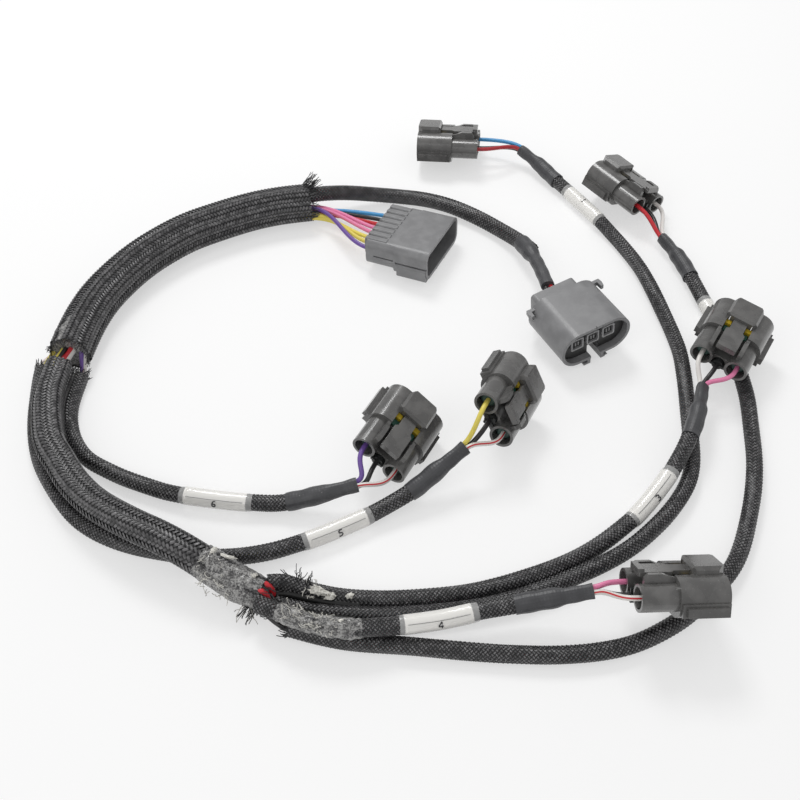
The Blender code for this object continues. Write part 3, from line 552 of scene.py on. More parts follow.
def evaluated(made):
    """The mesh of an object with its modifiers, or a curve's thickness, worked out."""
    graph = bpy.context.evaluated_depsgraph_get()
    return bpy.data.meshes.new_from_object(made.evaluated_get(graph))


def joined(meshes):
    """Several meshes as one, with their materials kept."""
    if len(meshes) == 1:
        return meshes[0]
    parts = [in_scene(bpy.data.objects.new("part", mesh)) for mesh in meshes]
    bpy.ops.object.select_all(action="DESELECT")
    for part in parts:
        part.select_set(True)
    bpy.context.view_layer.objects.active = parts[0]
    bpy.ops.object.join()
    mesh = bpy.context.view_layer.objects.active.data
    bpy.data.objects.remove(bpy.context.view_layer.objects.active)
    return mesh


# %% [markdown]
# ## The braid
#
# Expandable braid is a tube of flat ribbons, half of them winding left and half right, each
# going over and under the others. A texture could fake it, but the ribbons catch the light
# one by one and fray at the ends, so they are built. One Geometry Nodes tree does it: copy the
# path once for each ribbon, push each copy out along a helix, add a small wave so that the two
# sets weave, and sweep a flat profile along it. The path has one point for each crossing, so
# the wave needs no more points than it has ups and downs. The tube bulges where wires lie
# inside, so the radius also has lobes that turn slowly along the sleeve.

# %% The braid tree
def new_tree(name, sizes):
    tree = bpy.data.node_groups.new(name, "GeometryNodeTree")
    tree.interface.new_socket("Geometry", in_out="INPUT", socket_type="NodeSocketGeometry")
    tree.interface.new_socket("Geometry", in_out="OUTPUT", socket_type="NodeSocketGeometry")
    for label, value in sizes.items():
        kind = "NodeSocketInt" if isinstance(value, int) else "NodeSocketFloat"
        tree.interface.new_socket(label, in_out="INPUT", socket_type=kind).default_value = value
    tree.interface.new_socket("Material", in_out="INPUT", socket_type="NodeSocketMaterial")
    start = tree.nodes.new("NodeGroupInput")
    fields = {label: Field(tree, start.outputs[label]) for label in sizes}
    return tree, start, fields


def node(tree, kind, **inputs):
    """A node with its inputs set by name; underscores stand for spaces."""
    made = tree.nodes.new(kind)
    for label, value in inputs.items():
        put(tree, value, made.inputs[label.replace("_", " ")])
    return made


def vector_math(tree, operation, first, second=None, scale=None):
    made = tree.nodes.new("ShaderNodeVectorMath")
    made.operation = operation
    put(tree, first, made.inputs[0])
    if second is not None:
        put(tree, second, made.inputs[1])
    if scale is not None:
        put(tree, scale, made.inputs["Scale"])
    return made.outputs[0]


def ribbon_set(tree, line, size, hand):
    """One of the two sets of ribbons. hand is 1 or -1, the way that it winds."""
    copies = tree.nodes.new("GeometryNodeDuplicateElements")
    copies.domain = "SPLINE"
    put(tree, line, copies.inputs["Geometry"])
    put(tree, size["Ribbons"], copies.inputs["Amount"])
    here = tree.nodes.new("GeometryNodeSplineParameter")
    along = Field(tree, here.outputs["Length"])
    number = Field(tree, copies.outputs["Duplicate Index"])
    # From point to point a ribbon goes half a ribbon's place round, so each point is a crossing.
    turn = Field(tree, here.outputs["Index"]) * math.pi / size["Ribbons"]
    angle = number / size["Ribbons"] * (2 * math.pi) + turn * hand
    lobes = (angle * size["Lobes"] - along * size["Lobe Twist"]).cos() * size["Lobe Depth"]
    second = (angle * (size["Lobes"] + 2) + along * (size["Lobe Twist"] * 0.6)).cos()
    # Thin sleeves go over one, under one. Thick ones go over two, under two: which set lies on
    # top then depends only on the place round the sleeve, so columns of chevrons run along it.
    plain = (turn * size["Ribbons"]) * (1 - size["Chevrons"])
    top = (plain + (angle * (size["Ribbons"] * 0.5) + math.pi / 4) * size["Chevrons"]).cos() * hand
    reach = size["Radius"] + lobes + second * size["Lobe Depth"] * 0.35 + top * size["Weave"]
    normal = tree.nodes.new("GeometryNodeInputNormal").outputs[0]
    tangent = tree.nodes.new("GeometryNodeInputTangent").outputs[0]
    across = vector_math(tree, "CROSS_PRODUCT", tangent, normal)
    outward = vector_math(tree, "ADD", vector_math(tree, "SCALE", normal, scale=angle.cos()),
                          vector_math(tree, "SCALE", across, scale=angle.sin()))
    keep = tree.nodes.new("GeometryNodeCaptureAttribute")
    keep.domain = "POINT"
    keep.capture_items.new("VECTOR", "Outward")
    tree.links.new(copies.outputs["Geometry"], keep.inputs["Geometry"])
    tree.links.new(outward, keep.inputs["Outward"])
    moved = node(tree, "GeometryNodeSetPosition", Geometry=keep.outputs["Geometry"],
                 Offset=vector_math(tree, "SCALE", outward, scale=reach))
    faced = tree.nodes.new("GeometryNodeSetCurveNormal")
    faced.mode = "FREE"
    put(tree, moved.outputs[0], faced.inputs["Curve"])
    tree.links.new(keep.outputs["Outward"], faced.inputs["Normal"])
    over = tree.nodes.new("GeometryNodeStoreNamedAttribute")
    over.data_type = "FLOAT"
    over.domain = "POINT"
    over.inputs["Name"].default_value = "over"
    put(tree, faced.outputs[0], over.inputs["Geometry"])
    put(tree, top * 0.5 + 0.5, over.inputs["Value"])
    return over.outputs[0]


def braid_tree():
    tree, start, size = new_tree("braided_sleeve", {
        "Radius": 0.0034, "Ribbons": 12, "Slope": 1.0, "Width": 0.00106, "Thickness": 0.00034,
        "Weave": 0.00017, "Chevrons": 0.0, "Lobes": 3, "Lobe Depth": 0.0002, "Lobe Twist": 90.0})
    line = tree.nodes.new("GeometryNodeResampleCurve")
    line.mode = "LENGTH"
    put(tree, start.outputs["Geometry"], line.inputs["Curve"])
    put(tree, size["Radius"] * math.pi / (size["Ribbons"] * size["Slope"]), line.inputs["Length"])
    both = tree.nodes.new("GeometryNodeJoinGeometry")
    for hand in (-1, 1):
        tree.links.new(ribbon_set(tree, line.outputs[0], size, hand), both.inputs[0])
    flat = tree.nodes.new("GeometryNodeCurvePrimitiveQuadrilateral")
    flat.mode = "KITE"
    put(tree, size["Thickness"], flat.inputs["Width"])
    put(tree, size["Width"] * 0.5, flat.inputs["Top Height"])
    put(tree, size["Width"] * 0.5, flat.inputs["Bottom Height"])
    swept = node(tree, "GeometryNodeCurveToMesh", Curve=both.outputs[0],
                 Profile_Curve=flat.outputs[0])
    real = node(tree, "GeometryNodeRealizeInstances", Geometry=swept.outputs[0])
    painted = node(tree, "GeometryNodeSetMaterial", Geometry=real.outputs[0],
                   Material=start.outputs["Material"])
    end = tree.nodes.new("NodeGroupOutput")
    tree.links.new(painted.outputs[0], end.inputs["Geometry"])
    return tree


def grown(source, tree, look, **sizes):
    """The mesh that a tree makes from a source object, which is then removed."""
    modifier = source.modifiers.new("grow", "NODES")
    modifier.node_group = tree
    sockets = {item.name: item.identifier for item in tree.interface.items_tree
               if item.in_out == "INPUT"}
    for label, value in sizes.items():
        modifier[sockets[label.replace("_", " ")]] = value
    modifier[sockets["Material"]] = look
    mesh = evaluated(source)
    bpy.data.objects.remove(source)
    return mesh


def line_object(path):
    """A path as a curve object, which a tree can grow from."""
    curve = bpy.data.curves.new("route", "CURVE")
    curve.dimensions = "3D"
    spline = curve.splines.new("POLY")
    spline.points.add(len(path) - 1)
    spline.points.foreach_set("co", np.c_[path, np.ones(len(path))].ravel())
    return in_scene(bpy.data.objects.new("route", curve))


BRAID_TREE = braid_tree()


# %% [markdown]
# The tree stores a number named "over" on every ribbon: 1 where it lies on top, 0 where it goes
# under. The finish reads it and paints a pale highlight on the tops and shade at the crossings.

# %% The braid's fibre
def braid_finish():
    """Black monofilament: painted highlight as pale flecks on the tops, painted shade at the
    crossings.
    """
    made = finish("black_braid", (0.02, 0.02, 0.022), 0.36)
    read = made.node_tree.nodes.new("ShaderNodeAttribute")
    read.attribute_name = "over"
    over = Field(made.node_tree, read.outputs["Fac"])
    # The colour goes from painted shade at the crossings to a painted highlight on the tops. The
    # noise named dust only breaks that painted highlight into flecks.
    dust = noise(made, 420, 2).ramp(0.38, 0.66)
    painted_highlight = over.ramp(0.60, 0.95) * (dust * 0.7 + 0.3)
    paint(made, mixed(made, painted_highlight, (0.003, 0.003, 0.004), (0.20, 0.195, 0.20)))
    return made


BRAID = braid_finish()


def sleeve(name, path, radius, *replaced, **sizes):
    """A braided sleeve round a path. The radius is that of the ribbons' middle, in metres."""
    mesh = grown(line_object(path), BRAID_TREE, BRAID, Radius=radius, **sizes)
    made = piece(name, mesh, None, "black_braid", *replaced)
    print(name, "is", round(lengths(path)[-1] / MM), "mm with", len(mesh.polygons), "faces")
    return made


# %% [markdown]
# ## Wires
#
# Each branch carries three insulated wires. They show twice: as hints of colour between the
# ribbons, and bare for a short way between the boot and the plug. The bare ones leave the boot
# side by side, bend once and run square into their holes. Some have a printed stripe, which is
# a band of V, the share of the way round the wire.

# %% Wire finishes
# Where a printed stripe runs, as a share of the way round its wire.
STRIPE_AT = 0.36


def wire_finish(name, colour, stripe=None):
    made = finish(name, colour, 0.36)
    if stripe:
        off = wrap(made)[1] - STRIPE_AT
        band = 1 - off.math("ABSOLUTE", off).ramp(0.035, 0.065)
        paint(made, mixed(made, band, colour, stripe))
    return made


RED = (0.60, 0.025, 0.035)
WHITE = (0.80, 0.77, 0.74)
WIRES = {
    "red": wire_finish("wire_red", RED),
    "black": wire_finish("wire_black", (0.022, 0.021, 0.022)),
    "white": wire_finish("wire_white", WHITE),
    "white_red": wire_finish("wire_white_red_stripe", WHITE, RED),
    "pink": wire_finish("wire_pink", (0.84, 0.24, 0.44)),
    "yellow": wire_finish("wire_yellow", (0.84, 0.70, 0.13)),
    "purple": wire_finish("wire_purple", (0.17, 0.09, 0.36)),
    "blue": wire_finish("wire_blue", (0.06, 0.33, 0.66)),
    "red_black": wire_finish("wire_red_black_stripe", (0.45, 0.03, 0.04), (0.03, 0.02, 0.02)),
    "shade": wire_finish("wire_in_shade", (0.006, 0.006, 0.006)),
}
# From the far side (y up) to the near side of each plug, as the photo shows them.
BRANCH_WIRES = {
    1: ("red_black", "black", "blue"),
    2: ("red", "black", "white"),
    3: ("white", "black", "pink"),
    4: ("pink", "black", "white_red"),
    5: ("yellow", "black", "white_red"),
    6: ("purple", "black", "white_red"),
}


# %% Wire shapes
def bend(start, leave, arrive, end, steps=14):
    """A smooth run: out of one hole, round, and square into the next."""
    t = np.linspace(0.0, 1.0, steps)[:, None]
    run = (1 - t) ** 3 * start + 3 * t * (1 - t) ** 2 * leave + 3 * t * t * (1 - t) * arrive
    return run + t ** 3 * end


def joining_run(start, ahead, back, reach, arrive, hole):
    """A wire's path from inside one mouth, out, round, and through a hole's three points."""
    return np.vstack([start - ahead * back, start - ahead * back / 2,
                      bend(start, start + ahead * reach, arrive, hole[0]), *hole[1:]])


def wire(name, path, colour, *replaced, radius=WIRE_R, slot="wires_2"):
    mesh = loft(finer(path, 0.0008), radius * MM, 14)
    return piece(name, mesh, WIRES[colour], slot, *replaced)


def first_only(index, replaced):
    """A group of pieces stands for one CAD node, and its first piece says so."""
    return [replaced] if index == 0 else []


def core(name, path, colours, offset, radius, turns_per_metre):
    """Wires twisted together along the inside of a sleeve, as one piece."""
    path = finer(path, 0.003)
    side, up = frames(path)[1:]
    along = lengths(path)[:, None]
    strands = []
    for index, colour in enumerate(colours):
        turn = 2 * math.pi * (index / len(colours) + along * turns_per_metre)
        strand = path + (side * np.cos(turn) + up * np.sin(turn)) * offset * MM
        mesh = loft(strand, radius * MM, 8)
        mesh.materials.append(WIRES[colour])
        strands.append(mesh)
    made = in_scene(bpy.data.objects.new(name, joined(strands)))
    made.data.shade_smooth()
    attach(made, "root")
    return made


# %% [markdown]
# ## Connectors
#
# A moulded plug is a few plain shapes run together with every edge slightly rounded. So each
# one is made as the mould maker would: outlines pushed along the plug's own X axis, round rods
# for the wire tubes, hollows cut out, and at the end one Bevel that softens all edges at once.
# In the plug's frame X runs from the wires to the mouth, Y to its left and Z up to the latch.

# %% Solid shapes
workshop = bpy.data.collections.new("workshop")
bpy.context.scene.collection.children.link(workshop)


def solid(points, faces):
    """A workshop object from points in millimetres and the faces between them."""
    mesh = bpy.data.meshes.new("solid")
    mesh.from_pydata([tuple(v * MM for v in p) for p in points], [], faces)
    face_outward(mesh)
    made = bpy.data.objects.new("solid", mesh)
    workshop.objects.link(made)
    return made


def prism(outline, start, end, axis="X"):
    """An outline pushed between two lengths. Along X it lies in (y, z), along Y in (x, z)."""
    place = {"X": lambda s, p: (s, p[0], p[1]), "Y": lambda s, p: (p[0], s, p[1]),
             "Z": lambda s, p: (p[0], p[1], s)}[axis]
    count = len(outline)
    points = [place(s, p) for s in (start, end) for p in outline]
    faces = [tuple(range(count)), tuple(range(2 * count - 1, count - 1, -1))]
    faces += [(i, (i + 1) % count, (i + 1) % count + count, i + count) for i in range(count)]
    return solid(points, faces)


def round_box(width, height, corner, z=0.0, y=0.0, steps=8):
    """The outline of a rounded rectangle, centred at (y, z)."""
    points = []
    for cy, cz, turn in ((1, 1, 0), (-1, 1, 90), (-1, -1, 180), (1, -1, 270)):
        for step in range(steps + 1):
            angle = math.radians(turn + 90.0 * step / steps)
            points.append((y + cy * (width / 2 - corner) + corner * math.cos(angle),
                           z + cz * (height / 2 - corner) + corner * math.sin(angle)))
    return points


def disc(radius, y, z, steps=40):
    """The outline of a circle, centred at (y, z)."""
    return [(y + radius * math.cos(2 * math.pi * i / steps),
             z + radius * math.sin(2 * math.pi * i / steps)) for i in range(steps)]


def block(low, high):
    """A plain box between two corners."""
    (x0, y0, z0), (x1, y1, z1) = low, high
    return prism([(y0, z0), (y1, z0), (y1, z1), (y0, z1)], x0, x1)


def fused(adds, cuts=(), edge=0.35):
    """Shapes joined, others cut away, and every sharp edge rounded by `edge` millimetres."""
    base = adds[0]
    for other, operation in [(o, "UNION") for o in adds[1:]] + [(o, "DIFFERENCE") for o in cuts]:
        step = base.modifiers.new(operation.lower(), "BOOLEAN")
        step.operation = operation
        step.solver = "EXACT"
        step.object = other
    base.data.shade_smooth()
    if edge:
        soft = base.modifiers.new("edges", "BEVEL")
        soft.width = edge * MM
        soft.segments = 2
        soft.limit_method = "ANGLE"
        soft.angle_limit = SHARP
        soft.miter_outer = "MITER_ARC"
        soft.harden_normals = True
    mesh = evaluated(base)
    for used in [*adds, *cuts]:
        bpy.data.objects.remove(used)
    return mesh


def sides(make):
    """A shape made twice, on the left (1) and on the right (-1)."""
    return [make(side) for side in (1, -1)]


def span(side, near, far):
    """Two y values on one side, the lower first."""
    return sorted((side * near, side * far))


# %% [markdown]
# ### The coil plug
#
# Seen from above it has an oval shroud with a rail low on each side, two round tubes for the
# outer wires and a smaller bore between them, a fin on the inner side of each tube, a chamfered
# hood over the latch, and the flat latch panel itself, which ends in a raised lip. In a window
# behind the hood two tabs of a yellow retainer show, with a green rubber seal behind them.

# %% Coil plug sizes and body
# Millimetres along the plug (LENGTH), across it (W, Y), up (H, TOP, Z) and radii (R).
COIL_LENGTH = 34.0
TUBE_LENGTH = 14.5
TUBE_R = 5.4
TUBE_Y = 8.6
BORE_R = 4.2
MIDDLE_Z = -2.2
SHROUD_W = 30.0
SHROUD_H = 16.0
SHROUD_ROUND = 7.0
SHROUD_WALL = 1.6
HOOD_W = 15.0
HOOD_TOP = 11.2
# The retainer and the seal are bands of the same section: width, height and corner.
BAND_OUTSIDE = (22.6, 10.1, 4.0)
BAND_INSIDE = (20.2, 7.7, 2.8)
CORE_Z = -1.0


def coil_shell():
    """The shroud with its hood, rails, tubes and fins, hollowed from the mouth."""
    wide = round_box(SHROUD_W, SHROUD_H, SHROUD_ROUND)
    adds = [prism(wide, TUBE_LENGTH, COIL_LENGTH)]
    adds += sides(lambda s: prism(disc(TUBE_R, s * TUBE_Y, 0.0), 0.0, TUBE_LENGTH + 2))
    # A fin's outline from the side: up from the tube, level, then sloping into the shroud.
    fin = [(2.0, 1.5), (2.4, 7.4), (3.8, 9.0), (9.4, 9.0), (12.6, 7.8), (15.6, 7.4), (15.6, 1.5)]
    adds += sides(lambda s: prism(fin, *span(s, 6.0, 8.0), axis="Y"))
    adds += sides(lambda s: block((TUBE_LENGTH + 0.6, span(s, 13, 15.9)[0], -5.8),
                                  (COIL_LENGTH - 0.3, span(s, 13, 15.9)[1], -0.4)))
    adds += sides(lambda s: block((TUBE_LENGTH + 2.2, span(s, 14, 17.3)[0], -5.2),
                                  (COIL_LENGTH - 1.2, span(s, 14, 17.3)[1], -1.6)))
    adds.append(block((2.5, -6.0, -5.2), (TUBE_LENGTH + 1, 6.0, 1.6)))
    # The hood's outline from above has cut corners, and its rear edge slopes down.
    half = HOOD_W / 2
    hood = [(20.4, 3.6 - half), (22.6, -half),
            (COIL_LENGTH - 2.4, -half), (COIL_LENGTH, 2.0 - half),
            (COIL_LENGTH, half - 2.0), (COIL_LENGTH - 2.4, half),
            (22.6, half), (20.4, half - 3.6)]
    adds.append(prism(hood, 4.0, HOOD_TOP, axis="Z"))
    inner = round_box(SHROUD_W - 2 * SHROUD_WALL, SHROUD_H - 2 * SHROUD_WALL,
                      SHROUD_ROUND - SHROUD_WALL)
    slope = [(18.0, 8.6), (20.0, 8.6), (23.4, HOOD_TOP + 1), (18.0, HOOD_TOP + 1)]
    cuts = [prism(inner, TUBE_LENGTH + 1.5, COIL_LENGTH + 2),
            prism(round_box(11.2, 5.1, 1.2, z=7.55), 18.0, COIL_LENGTH - 1.6),
            prism(slope, -half - 1, half + 1, axis="Y"),
            prism(round_box(12.8, 8.0, 1.6, z=8.6), TUBE_LENGTH - 2.5, 21.4)]
    for side in (1, -1):
        # Long chamfers on the hood's two upper edges.
        corner = [(side * (half + 0.5), HOOD_TOP - 2.0), (side * (half + 0.5), HOOD_TOP + 1),
                  (side * (half - 2.0), HOOD_TOP + 1)]
        cuts.append(prism(corner[::side], 19.0, COIL_LENGTH + 1))
        cuts.append(prism(disc(BORE_R, side * TUBE_Y, 0.0), -1.0, 10.5))
    cuts.append(prism(disc(3.0, 0.0, MIDDLE_Z), 1.0, 10.0))
    return fused(adds, cuts, edge=0.45)


def coil_latch():
    """The flat latch panel: a neck from under the hood, a wide pad and a raised lip."""
    flat = [(24.0, -3.3), (24.0, 3.3), (15.2, 3.4), (14.0, 4.7), (1.6, 4.7), (1.0, 4.2),
            (1.0, -4.2), (1.6, -4.7), (14.0, -4.7), (15.2, -3.4)]
    adds = [prism(flat, 7.0, 8.7, axis="Z"),
            block((0.9, -4.5, 7.2), (3.4, 4.5, 10.0))]
    return fused(adds, edge=0.4)


def coil_core():
    """What shows deep in the mouth: the terminal block with its three slots."""
    adds = [prism(round_box(19.0, 7.0, 2.8, z=CORE_Z), TUBE_LENGTH, 24.0),
            block((21.8, -5.4, 2.2), (24.0, 5.4, 9.7))]
    cuts = [block((17.0, y - 1.3, -2.4), (25.0, y + 1.3, 0.4)) for y in (-6.0, 0.0, 6.0)]
    return fused(adds, cuts, edge=0.25)


def core_band(start, end, extras, room):
    """A band round the core with more shapes on it. The hole goes on past both ends."""
    adds = [prism(round_box(*BAND_OUTSIDE, z=CORE_Z), start, end), *extras]
    hole = prism(round_box(*BAND_INSIDE, z=CORE_Z), start - room[0], end + room[1])
    return fused(adds, [hole], edge=0.2)


def coil_retainer():
    """A yellow band round the core, of which two upright tabs show in the window."""
    tabs = [block((18.9, y - 1.45, 3.0), (21.5, y + 1.45, 6.9)) for y in (-5.0, 5.0)]
    return core_band(19.0, 21.4, tabs, (1.0, 0.6))


def coil_seal():
    """The green rubber band behind the retainer, with the pad that shows in the window."""
    return core_band(16.4, 18.6, [block((15.4, -6.0, 3.4), (18.6, 6.0, 5.6))], (0.5, 0.4))


def wire_seals():
    """The rubber rings, a wide one and a narrower one, that close each outer bore."""
    adds = [prism(disc(BORE_R - 0.35, s * TUBE_Y, 0.0), 4.2, 8.0) for s in (1, -1)]
    adds += [prism(disc(BORE_R - 1.4, s * TUBE_Y, 0.0), 3.0, 5.0) for s in (1, -1)]
    return joined([fused([shape], edge=0.3) for shape in adds])


def middle_bore():
    """The black clip round the middle wire: a plug with four short ribs."""
    adds = [prism(disc(2.6, 0.0, MIDDLE_Z), 0.6, 6.0),
            prism(round_box(6.6, 1.3, 0.5, z=MIDDLE_Z), 0.0, 4.0),
            prism(round_box(1.3, 6.0, 0.5, z=MIDDLE_Z), 0.0, 4.0)]
    return fused(adds, edge=0.3)


# %% [markdown]
# Grey nylon isn't one flat grey. A slow cloud of dust and wear varies the colour and the gloss,
# and a fine grain in the bump keeps the highlights from looking like glass. The seven parts are
# made once, and every plug gets a copy of each, turned and moved to where that plug lies.

# %% Plug finishes
def nylon(name, dark, light, roughness, coat=0.6):
    """Moulded plastic between two greys, with pale specks of dust and a thin glossy skin."""
    made = finish(name, dark, roughness, coat=coat)
    shader_of(made).inputs["Coat Roughness"].default_value = 0.16
    cloud = noise(made, 160, 4).ramp(0.35, 0.75)
    specks = noise(made, 1500, 2).ramp(0.66, 0.76)
    colour = mixed(made, cloud, dark, light)
    paint(made, mixed(made, specks * 0.25, colour, (0.45, 0.45, 0.44)))
    put(made.node_tree, cloud * 0.12 + roughness, shader_of(made).inputs["Roughness"])
    bump(made, noise(made, 2600, 2), 0.00006, 0.35)
    return made


HOUSING = nylon("coil_plug_nylon", (0.090, 0.088, 0.086), (0.140, 0.137, 0.133), 0.24)
PLUG_GREY = nylon("engine_plug_nylon", (0.195, 0.195, 0.200), (0.245, 0.245, 0.250), 0.38,
                  coat=0.08)
RETAINER = finish("retainer_yellow", (0.46, 0.33, 0.02), 0.34)
SEAL = finish("seal_green", (0.010, 0.085, 0.055), 0.5)
RING_SEAL = finish("ring_seal_dark_green", (0.035, 0.075, 0.065), 0.4)
PLUG_DARK = finish("middle_bore_black", (0.018, 0.020, 0.020), 0.4)

# %% Coil plugs in their places
# Each part's name, mesh, finish, slot and the CAD node that it stands for, if any.
COIL_PARTS = (
    ("plug_body", coil_shell(), HOUSING, "grey_nylon", "housing"),
    ("plug_latch", coil_latch(), HOUSING, "grey_nylon", None),
    ("plug_core", coil_core(), HOUSING, "grey_nylon", None),
    ("plug_retainer", coil_retainer(), RETAINER, "yellow_retainer", "retainer"),
    ("plug_seal", coil_seal(), SEAL, "green_rubber", "seal"),
    ("wire_seals", wire_seals(), RING_SEAL, "green_rubber", None),
    ("middle_clip", middle_bore(), PLUG_DARK, "grey_nylon", None),
)
for part in COIL_PARTS:
    print("coil", part[0], "has", len(part[1].polygons), "faces")


def pose_matrix(pose):
    """Where a plug lies, and how it is turned, as one matrix."""
    (x, y, z), (yaw, pitch, roll) = pose
    turn = Euler([math.radians(a) for a in (roll, pitch, yaw)], "XYZ").to_matrix().to_4x4()
    return Matrix.Translation(((x - CENTRE_X) * MM, (y - CENTRE_Y) * MM, z * MM)) @ turn


def in_frame(matrix, x, y, z):
    """A point given in a plug's own millimetres, in the scene's metres."""
    return (np.array(matrix) @ np.array([x * MM, y * MM, z * MM, 1.0]))[:3]


def placed(name, mesh, matrix, look, slot, *replaced):
    """A copy of a workshop mesh where the plug lies, with its place in its own vertices."""
    copy = mesh.copy()
    copy.transform(matrix)
    return piece(name, copy, look, slot, *replaced)


def coil_plug(number):
    """All parts of one coil plug. It gives back the plug's matrix, for the wires."""
    matrix = pose_matrix(COIL_POSES[number])
    for part, mesh, look, slot, node_name in COIL_PARTS:
        replaced = [f"coil_{number}_{node_name}"] if node_name else []
        placed(f"coil_{number}_{part}", mesh, matrix, look, slot, *replaced)
    return matrix


COIL_FRAMES = {number: coil_plug(number) for number in COIL_POSES}
print("coil plugs placed:", len(COIL_FRAMES))


# %% [markdown]
# ### The two engine plugs
#
# The wide plug carries eight wires side by side. Its rear is scalloped into ribs between the
# wires, its shroud is open and deep, and a second tier runs along one side. The oval plug is a
# broad stadium with three square terminal towers inside, a slot through its floor with a small
# rail on each lip, and two curled ears at the rear.

# %% The wide plug
# Millimetres, as for the coil plug. A way is one wire's place.
MAIN_LENGTH = 36.0
MAIN_REAR_W = 40.0
MAIN_FRONT_W = 42.0
MAIN_H = 16.0
MAIN_REAR_LENGTH = 17.5
MAIN_WALL = 1.8
MAIN_WAYS = 8
MAIN_PITCH = (MAIN_REAR_W - 5.0) / MAIN_WAYS
MAIN_MIDDLE = (MAIN_WAYS - 1) / 2
MAIN_Y = [MAIN_PITCH * (i - MAIN_MIDDLE) for i in range(MAIN_WAYS)]
BLADE_PITCH = 4.2
# How high above the middle the wire holes of both engine plugs lie.
HOLE_Z = 0.6


def wide_plug():
    """The open shroud, the ribbed rear with its round lips, and the second tier."""
    half = MAIN_FRONT_W / 2
    adds = [prism(round_box(MAIN_FRONT_W, MAIN_H, 5.0), MAIN_REAR_LENGTH, MAIN_LENGTH),
            prism(round_box(MAIN_REAR_W, MAIN_H - 1.6, 4.4, z=0.5), 1.6, MAIN_REAR_LENGTH + 1)]
    # The rear edge is a row of round lips, one over each wire.
    adds += [prism(round_box(3.7, 9.6, 1.7, y=y, z=2.9), 0.0, 4.0) for y in MAIN_Y]
    adds += [prism(round_box(3.3, 3.2, 0.8, y=y, z=6.5), 0.5, 12.0) for y in MAIN_Y]
    adds += [prism(round_box(7.0, 2.4, 1.0, y=half - 2.6, z=3.8), 10.0, 26.0),
             prism(round_box(4.2, 7.4, 1.6, y=1.6 - half, z=-4.6), MAIN_REAR_LENGTH + 2,
                   MAIN_LENGTH - 0.4)]
    adds += [prism(disc(0.9, y, -MAIN_H / 2 - 0.3, 16), MAIN_LENGTH - 4, MAIN_LENGTH - 0.4)
             for y in (-6.0, 4.0)]
    inner = round_box(MAIN_FRONT_W - 2 * MAIN_WALL, MAIN_H - 2 * MAIN_WALL, 5.0 - MAIN_WALL)
    cuts = [prism(inner, MAIN_REAR_LENGTH - 1, MAIN_LENGTH + 3)]
    cuts += [prism(disc(1.45, y, HOLE_Z, 20), -1.0, 8.0) for y in MAIN_Y]
    # Narrow grooves between the ribs, and the long groove along the near side.
    cuts += [prism(round_box(0.5, 2.0, 0.2, y=y + MAIN_PITCH / 2, z=8.3), -0.5, 11.0)
             for y in MAIN_Y[:-1]]
    cuts.append(block((MAIN_REAR_LENGTH + 1, -half - 1, -0.9),
                      (MAIN_LENGTH + 1, 0.9 - half, 0.1)))
    cuts.append(block((6.0, -MAIN_REAR_W / 2 - 1, -0.6),
                      (MAIN_REAR_LENGTH, 0.7 - MAIN_REAR_W / 2, 0.2)))
    return fused(adds, cuts, edge=0.4)


def wide_plug_pins():
    """The dark plate that closes the shroud's floor, and a row of flat blades on it."""
    floor = MAIN_REAR_LENGTH - 0.65
    plate = round_box(MAIN_FRONT_W - 2 * MAIN_WALL - 0.7, MAIN_H - 2 * MAIN_WALL - 0.7, 2.6)
    blades = []
    for i in range(MAIN_WAYS):
        y = BLADE_PITCH * (i - MAIN_MIDDLE)
        blade = block((floor + 1, y - 0.9, -0.4), (floor + 9, y + 0.9, 0.4))
        blades.append(fused([blade], edge=0.15))
    return fused([prism(plate, floor, floor + 2.0)], edge=0.2), joined(blades)


# %% The oval plug
POWER_W = 38.0
POWER_H = 20.0
POWER_REAR = 6.0
POWER_LENGTH = 36.0
POWER_WALL = 1.6
POWER_ROUND = POWER_H / 2 - 0.2
POWER_PITCH = 8.6
# Where the two wires go in, across the plug.
POWER_HOLES = (-4.0, 2.0)


def oval_plug():
    """The shroud with its floor slot, the two rails under it, the ears and the rear block."""
    low = -POWER_H / 2
    oval = round_box(POWER_W, POWER_H, POWER_ROUND, steps=16)
    adds = [prism(oval, POWER_REAR, POWER_LENGTH),
            prism(round_box(24.0, 14.4, 2.0, y=-2.0, z=1.2), 0.0, POWER_REAR + 1)]
    for side in (1, -1):
        # An ear: a short arm out of the side that curls forward and ends in a small barb.
        arm = [(POWER_REAR + 0.4, side * 12.0), (POWER_REAR + 2.2, side * 12.0),
               (POWER_REAR + 2.2, side * 18.6), (POWER_REAR + 5.4, side * 18.8),
               (POWER_REAR + 5.4, side * 20.2), (POWER_REAR + 3.0, side * 20.7),
               (POWER_REAR + 0.4, side * 20.4)]
        adds.append(prism(arm[::side], 4.4, 6.8, axis="Z"))
        # A rail: down from the slot's lip, then outward, then a small tooth at its end.
        rail = [(side * 2.9, low + 1.0), (side * 2.9, low - 2.9), (side * 6.6, low - 2.9),
                (side * 6.6, low - 1.9), (side * 4.5, low - 1.9), (side * 4.5, low + 1.0)]
        adds.append(prism(rail[::side], 14.0, POWER_LENGTH))
    inner = round_box(POWER_W - 2 * POWER_WALL, POWER_H - 2 * POWER_WALL,
                      POWER_ROUND - POWER_WALL, steps=16)
    cuts = [prism(inner, POWER_REAR + 4, POWER_LENGTH + 2),
            block((14.0, -2.6, low - 5), (POWER_LENGTH + 2, 2.6, -4.0)),
            block((POWER_LENGTH - 1.4, 5.2, low - 4.0), (POWER_LENGTH + 1, 7.4, low - 2.3)),
            block((POWER_LENGTH - 0.6, -0.3, POWER_H / 2 - 1),
                  (POWER_LENGTH + 1, 0.2, POWER_H / 2 + 1))]
    cuts += [prism(disc(1.5, y, HOLE_Z, 20), -1.0, 5.9) for y in POWER_HOLES]
    return fused(adds, cuts, edge=0.45)


